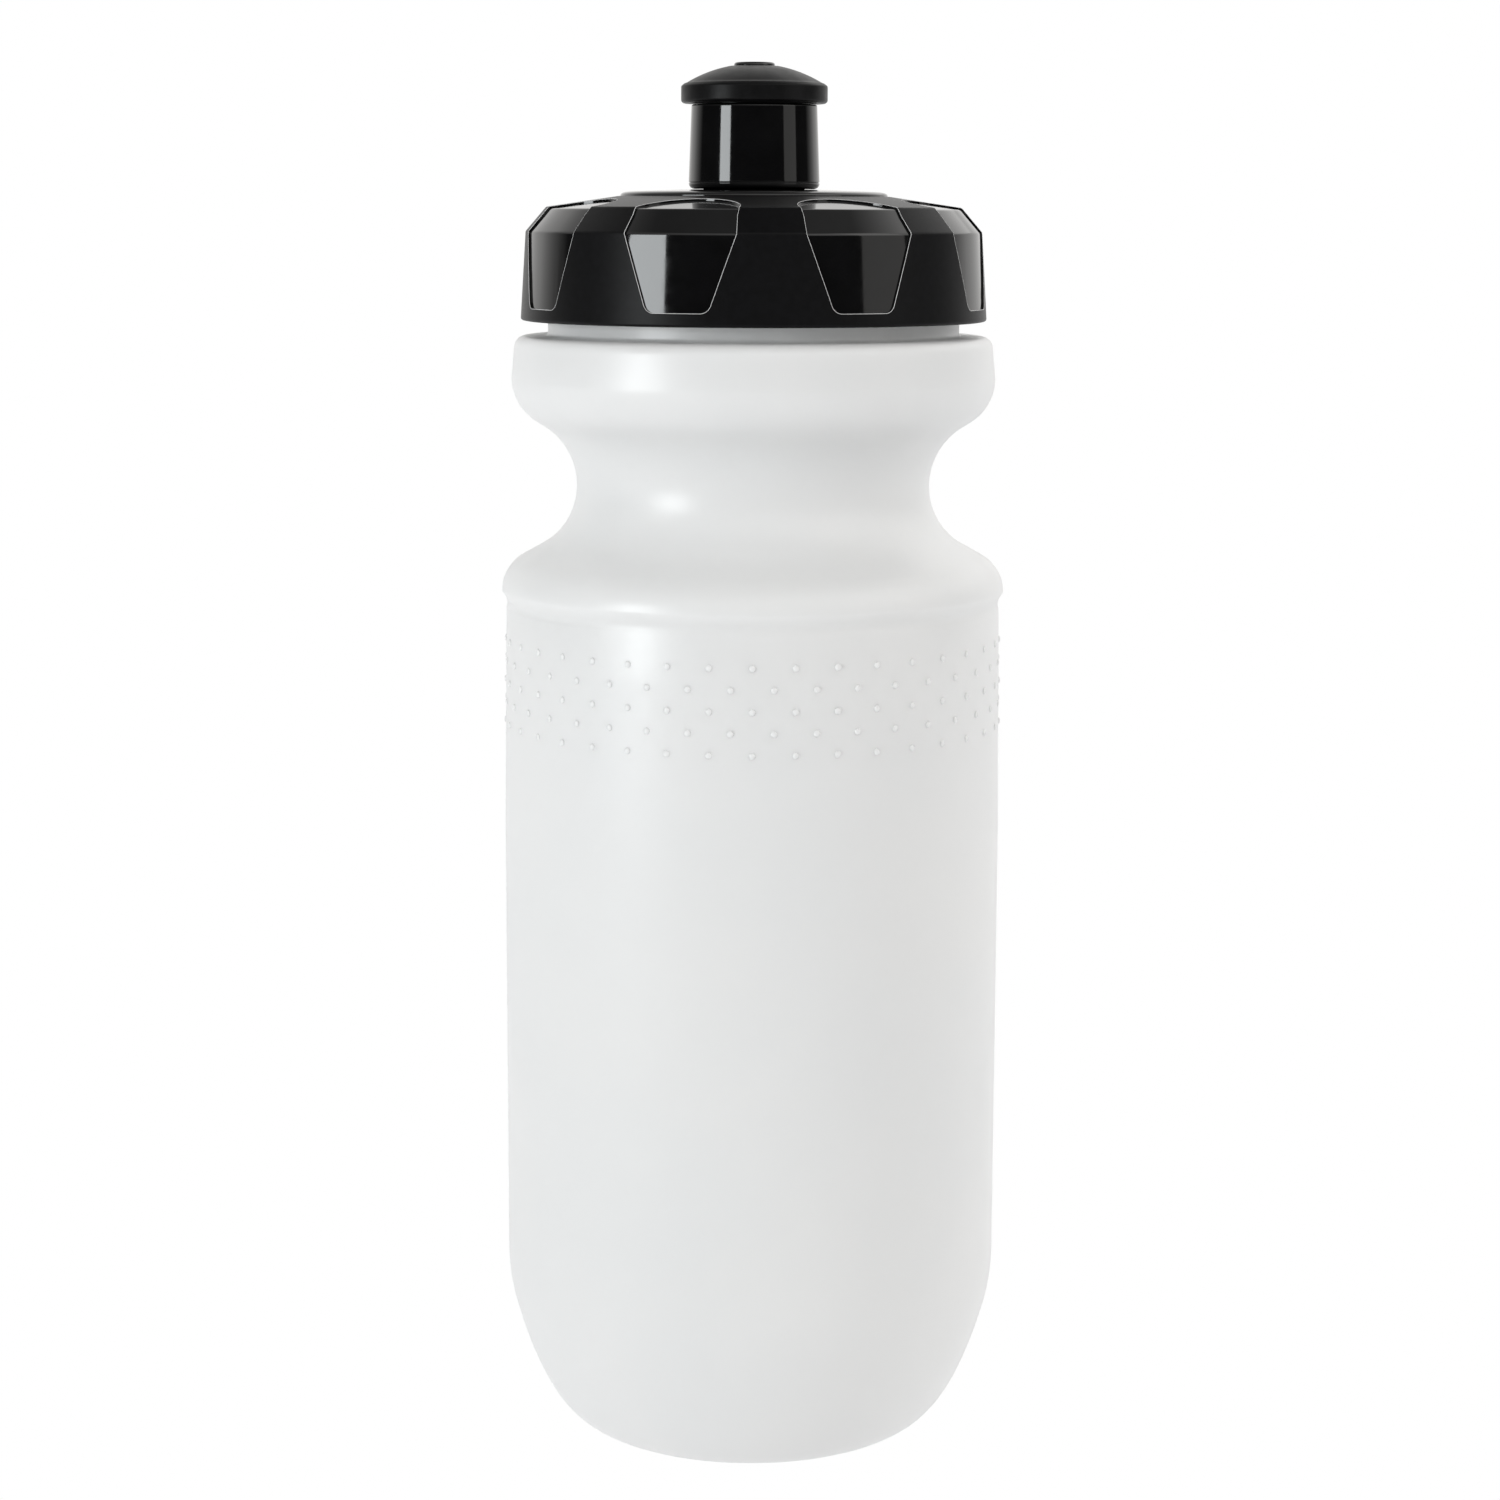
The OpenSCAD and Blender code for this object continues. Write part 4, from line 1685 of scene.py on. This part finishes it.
@dataclass
class Studio:
    """Pale floor, white backdrop, soft lights and the camera.

    The surroundings are a sphere of light. A place on it is given by its direction, from -1 to 1
    along each axis.

    Attributes:
        distance: Distance of the camera from the bottle's axis.
        height: Height of the camera above the floor.
        side: How far the camera stands to the right.
        tilt: Angle that it looks down by, in degrees.
        roll: Angle that it leans by, in degrees.
        lens: Focal length in millimetres.
        sensor: Width of its sensor in millimetres.
        clip: Nearest distance that it sees.
        room_tint: Colour of the surroundings.
        floor_glow: Brightness of the floor in reflections, and as the camera sees it.
        dark: Brightness of the dark front.
        backdrop: Brightness of the backdrop.
        backdrop_edge: Where the front turns into the backdrop, along Y.
        ring: Brightness of the ring of soft light.
        ring_low: Where the ring starts and is full, along Z.
        ring_high: Where the ring fades, along Z.
        ceiling: Brightness above the ring.
        ring_width: Where the ring is weakest and strongest, along X.
        ring_sides: Share of its brightness there.
    """

    distance: float = 485.9 * MM
    height: float = 181.2 * MM
    side: float = -0.31 * MM
    tilt: float = 9.24
    roll: float = 0.2
    lens: float = 79.2
    sensor: float = 36.0
    clip: float = 10 * MM
    room_tint: Colour = (1.0, 0.99, 0.975)
    floor_glow: Point = (0.95, 1.0)
    dark: float = 0.035
    backdrop: float = 1.0
    backdrop_edge: Point = (0.3, 0.7)
    ring: float = 1.25
    ring_low: Point = (0.16, 0.29)
    ring_high: Point = (0.74, 0.88)
    ceiling: float = 0.3
    ring_width: Point = (-0.7, 0.3)
    ring_sides: Point = (0.5, 1.15)

    def build(self) -> None:
        """Sets up the floor, the surroundings, the lights and the camera."""
        self._floor()
        self._surroundings()
        Softbox("left_strip", azimuth=-53, distance=0.62, height=0.185, size=(0.21, 0.24),
                power=1.55, colour=(0.945, 0.985, 1.0)).build()
        Softbox("right_reflector", azimuth=67, distance=0.8, height=0.5, size=(0.41, 1.0),
                power=1.0, colour=(1.0, 0.985, 0.96)).build()
        self._camera()
        bpy.context.scene.view_settings.view_transform = "Standard"
        bpy.context.scene.view_settings.look = "None"

    def _floor(self) -> None:
        """Adds a wide floor that shows as plain white."""
        deselect()
        bpy.ops.mesh.primitive_plane_add(size=12)
        floor = newest("floor")
        material = bpy.data.materials.new("white_floor")
        material.use_nodes = True
        material.node_tree.nodes.clear()
        nodes = Nodes(material.node_tree)
        rays = nodes.add("ShaderNodeLightPath")
        strength = nodes.mapped(rays, "Is Camera Ray", (0.0, 1.0), self.floor_glow)
        glow = nodes.add("ShaderNodeEmission", Color=(1, 1, 1, 1))
        nodes.link(strength, "Result", glow, "Strength")
        output = nodes.add("ShaderNodeOutputMaterial")
        nodes.link(glow, "Emission", output, "Surface")
        floor.data.materials.append(material)

    def _surroundings(self) -> None:
        """Makes a backdrop and a dark front under a ring of light, and plain white in view."""
        world = bpy.data.worlds.new("studio")
        bpy.context.scene.world = world
        world.use_nodes = True
        world.node_tree.nodes.clear()
        nodes = Nodes(world.node_tree)
        place = nodes.add("ShaderNodeTexCoord")
        parts = nodes.add("ShaderNodeSeparateXYZ")
        nodes.link(place, "Generated", parts, "Vector")
        back = nodes.mapped(parts, "Y", self.backdrop_edge, (self.dark, self.backdrop))
        rise = nodes.mapped(parts, "Z", self.ring_low, (self.dark, self.ring))
        fall = nodes.mapped(parts, "Z", self.ring_high, (self.ring, self.ceiling))
        side = nodes.mapped(parts, "X", self.ring_width, self.ring_sides)
        ring = self._combine(nodes, "MINIMUM", rise, fall)
        ring = self._combine(nodes, "MULTIPLY", ring, side)
        glow = self._combine(nodes, "MAXIMUM", back, ring)
        room = nodes.add("ShaderNodeBackground", Color=(*self.room_tint, 1.0))
        nodes.link(glow, "Value", room, "Strength")
        plain = nodes.add("ShaderNodeBackground", Color=(1, 1, 1, 1), Strength=1.0)
        rays = nodes.add("ShaderNodeLightPath")
        mix = nodes.add("ShaderNodeMixShader")
        nodes.link(rays, "Is Camera Ray", mix, "Fac")
        self._mix(nodes, room, plain, mix)
        output = nodes.add("ShaderNodeOutputWorld")
        nodes.link(mix, "Shader", output, "Surface")

    def _combine(self, nodes: Nodes, operation: str, first: Node, second: Node) -> Node:
        """Adds a node that makes one value of two.

        Args:
            nodes: Where it is added.
            operation: MINIMUM, MAXIMUM or MULTIPLY.
            first: Node that gives one value.
            second: Node that gives the other.

        Returns:
            The added node.
        """
        node = nodes.add("ShaderNodeMath")
        node.operation = operation
        for source, socket in zip((first, second), node.inputs):
            nodes.tree.links.new(source.outputs[0], socket)
        return node

    def _mix(self, nodes: Nodes, first: Node, second: Node, mix: Node) -> None:
        """Links two backgrounds to the two inputs of a mix, which share one name."""
        nodes.tree.links.new(first.outputs["Background"], mix.inputs[1])
        nodes.tree.links.new(second.outputs["Background"], mix.inputs[2])

    def _camera(self) -> None:
        """Adds the camera in front of the bottle, level with its lid and looking down."""
        data = bpy.data.cameras.new("camera")
        data.lens = self.lens
        data.sensor_width = self.sensor
        data.clip_start = self.clip
        camera = bpy.data.objects.new("camera", data)
        camera.location = (self.side, -self.distance, self.height)
        camera.rotation_mode = "QUATERNION"
        look = Quaternion((1, 0, 0), math.radians(90 - self.tilt))
        camera.rotation_quaternion = look @ Quaternion((0, 0, 1), math.radians(self.roll))
        bpy.context.scene.collection.objects.link(camera)
        bpy.context.scene.camera = camera


def main() -> None:
    """Loads the frame, then builds the bottle, the lid, the valve and the studio."""
    logging.basicConfig(level=logging.INFO, format="%(name)s: %(message)s")
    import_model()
    for assembly in (Bottle(), Lid(), Gasket(), Spout(), SealRing(), Valve()):
        assembly.build()
        LOG.info("built %s", type(assembly).__name__)
    Studio().build()


if __name__ == "__main__":
    main()
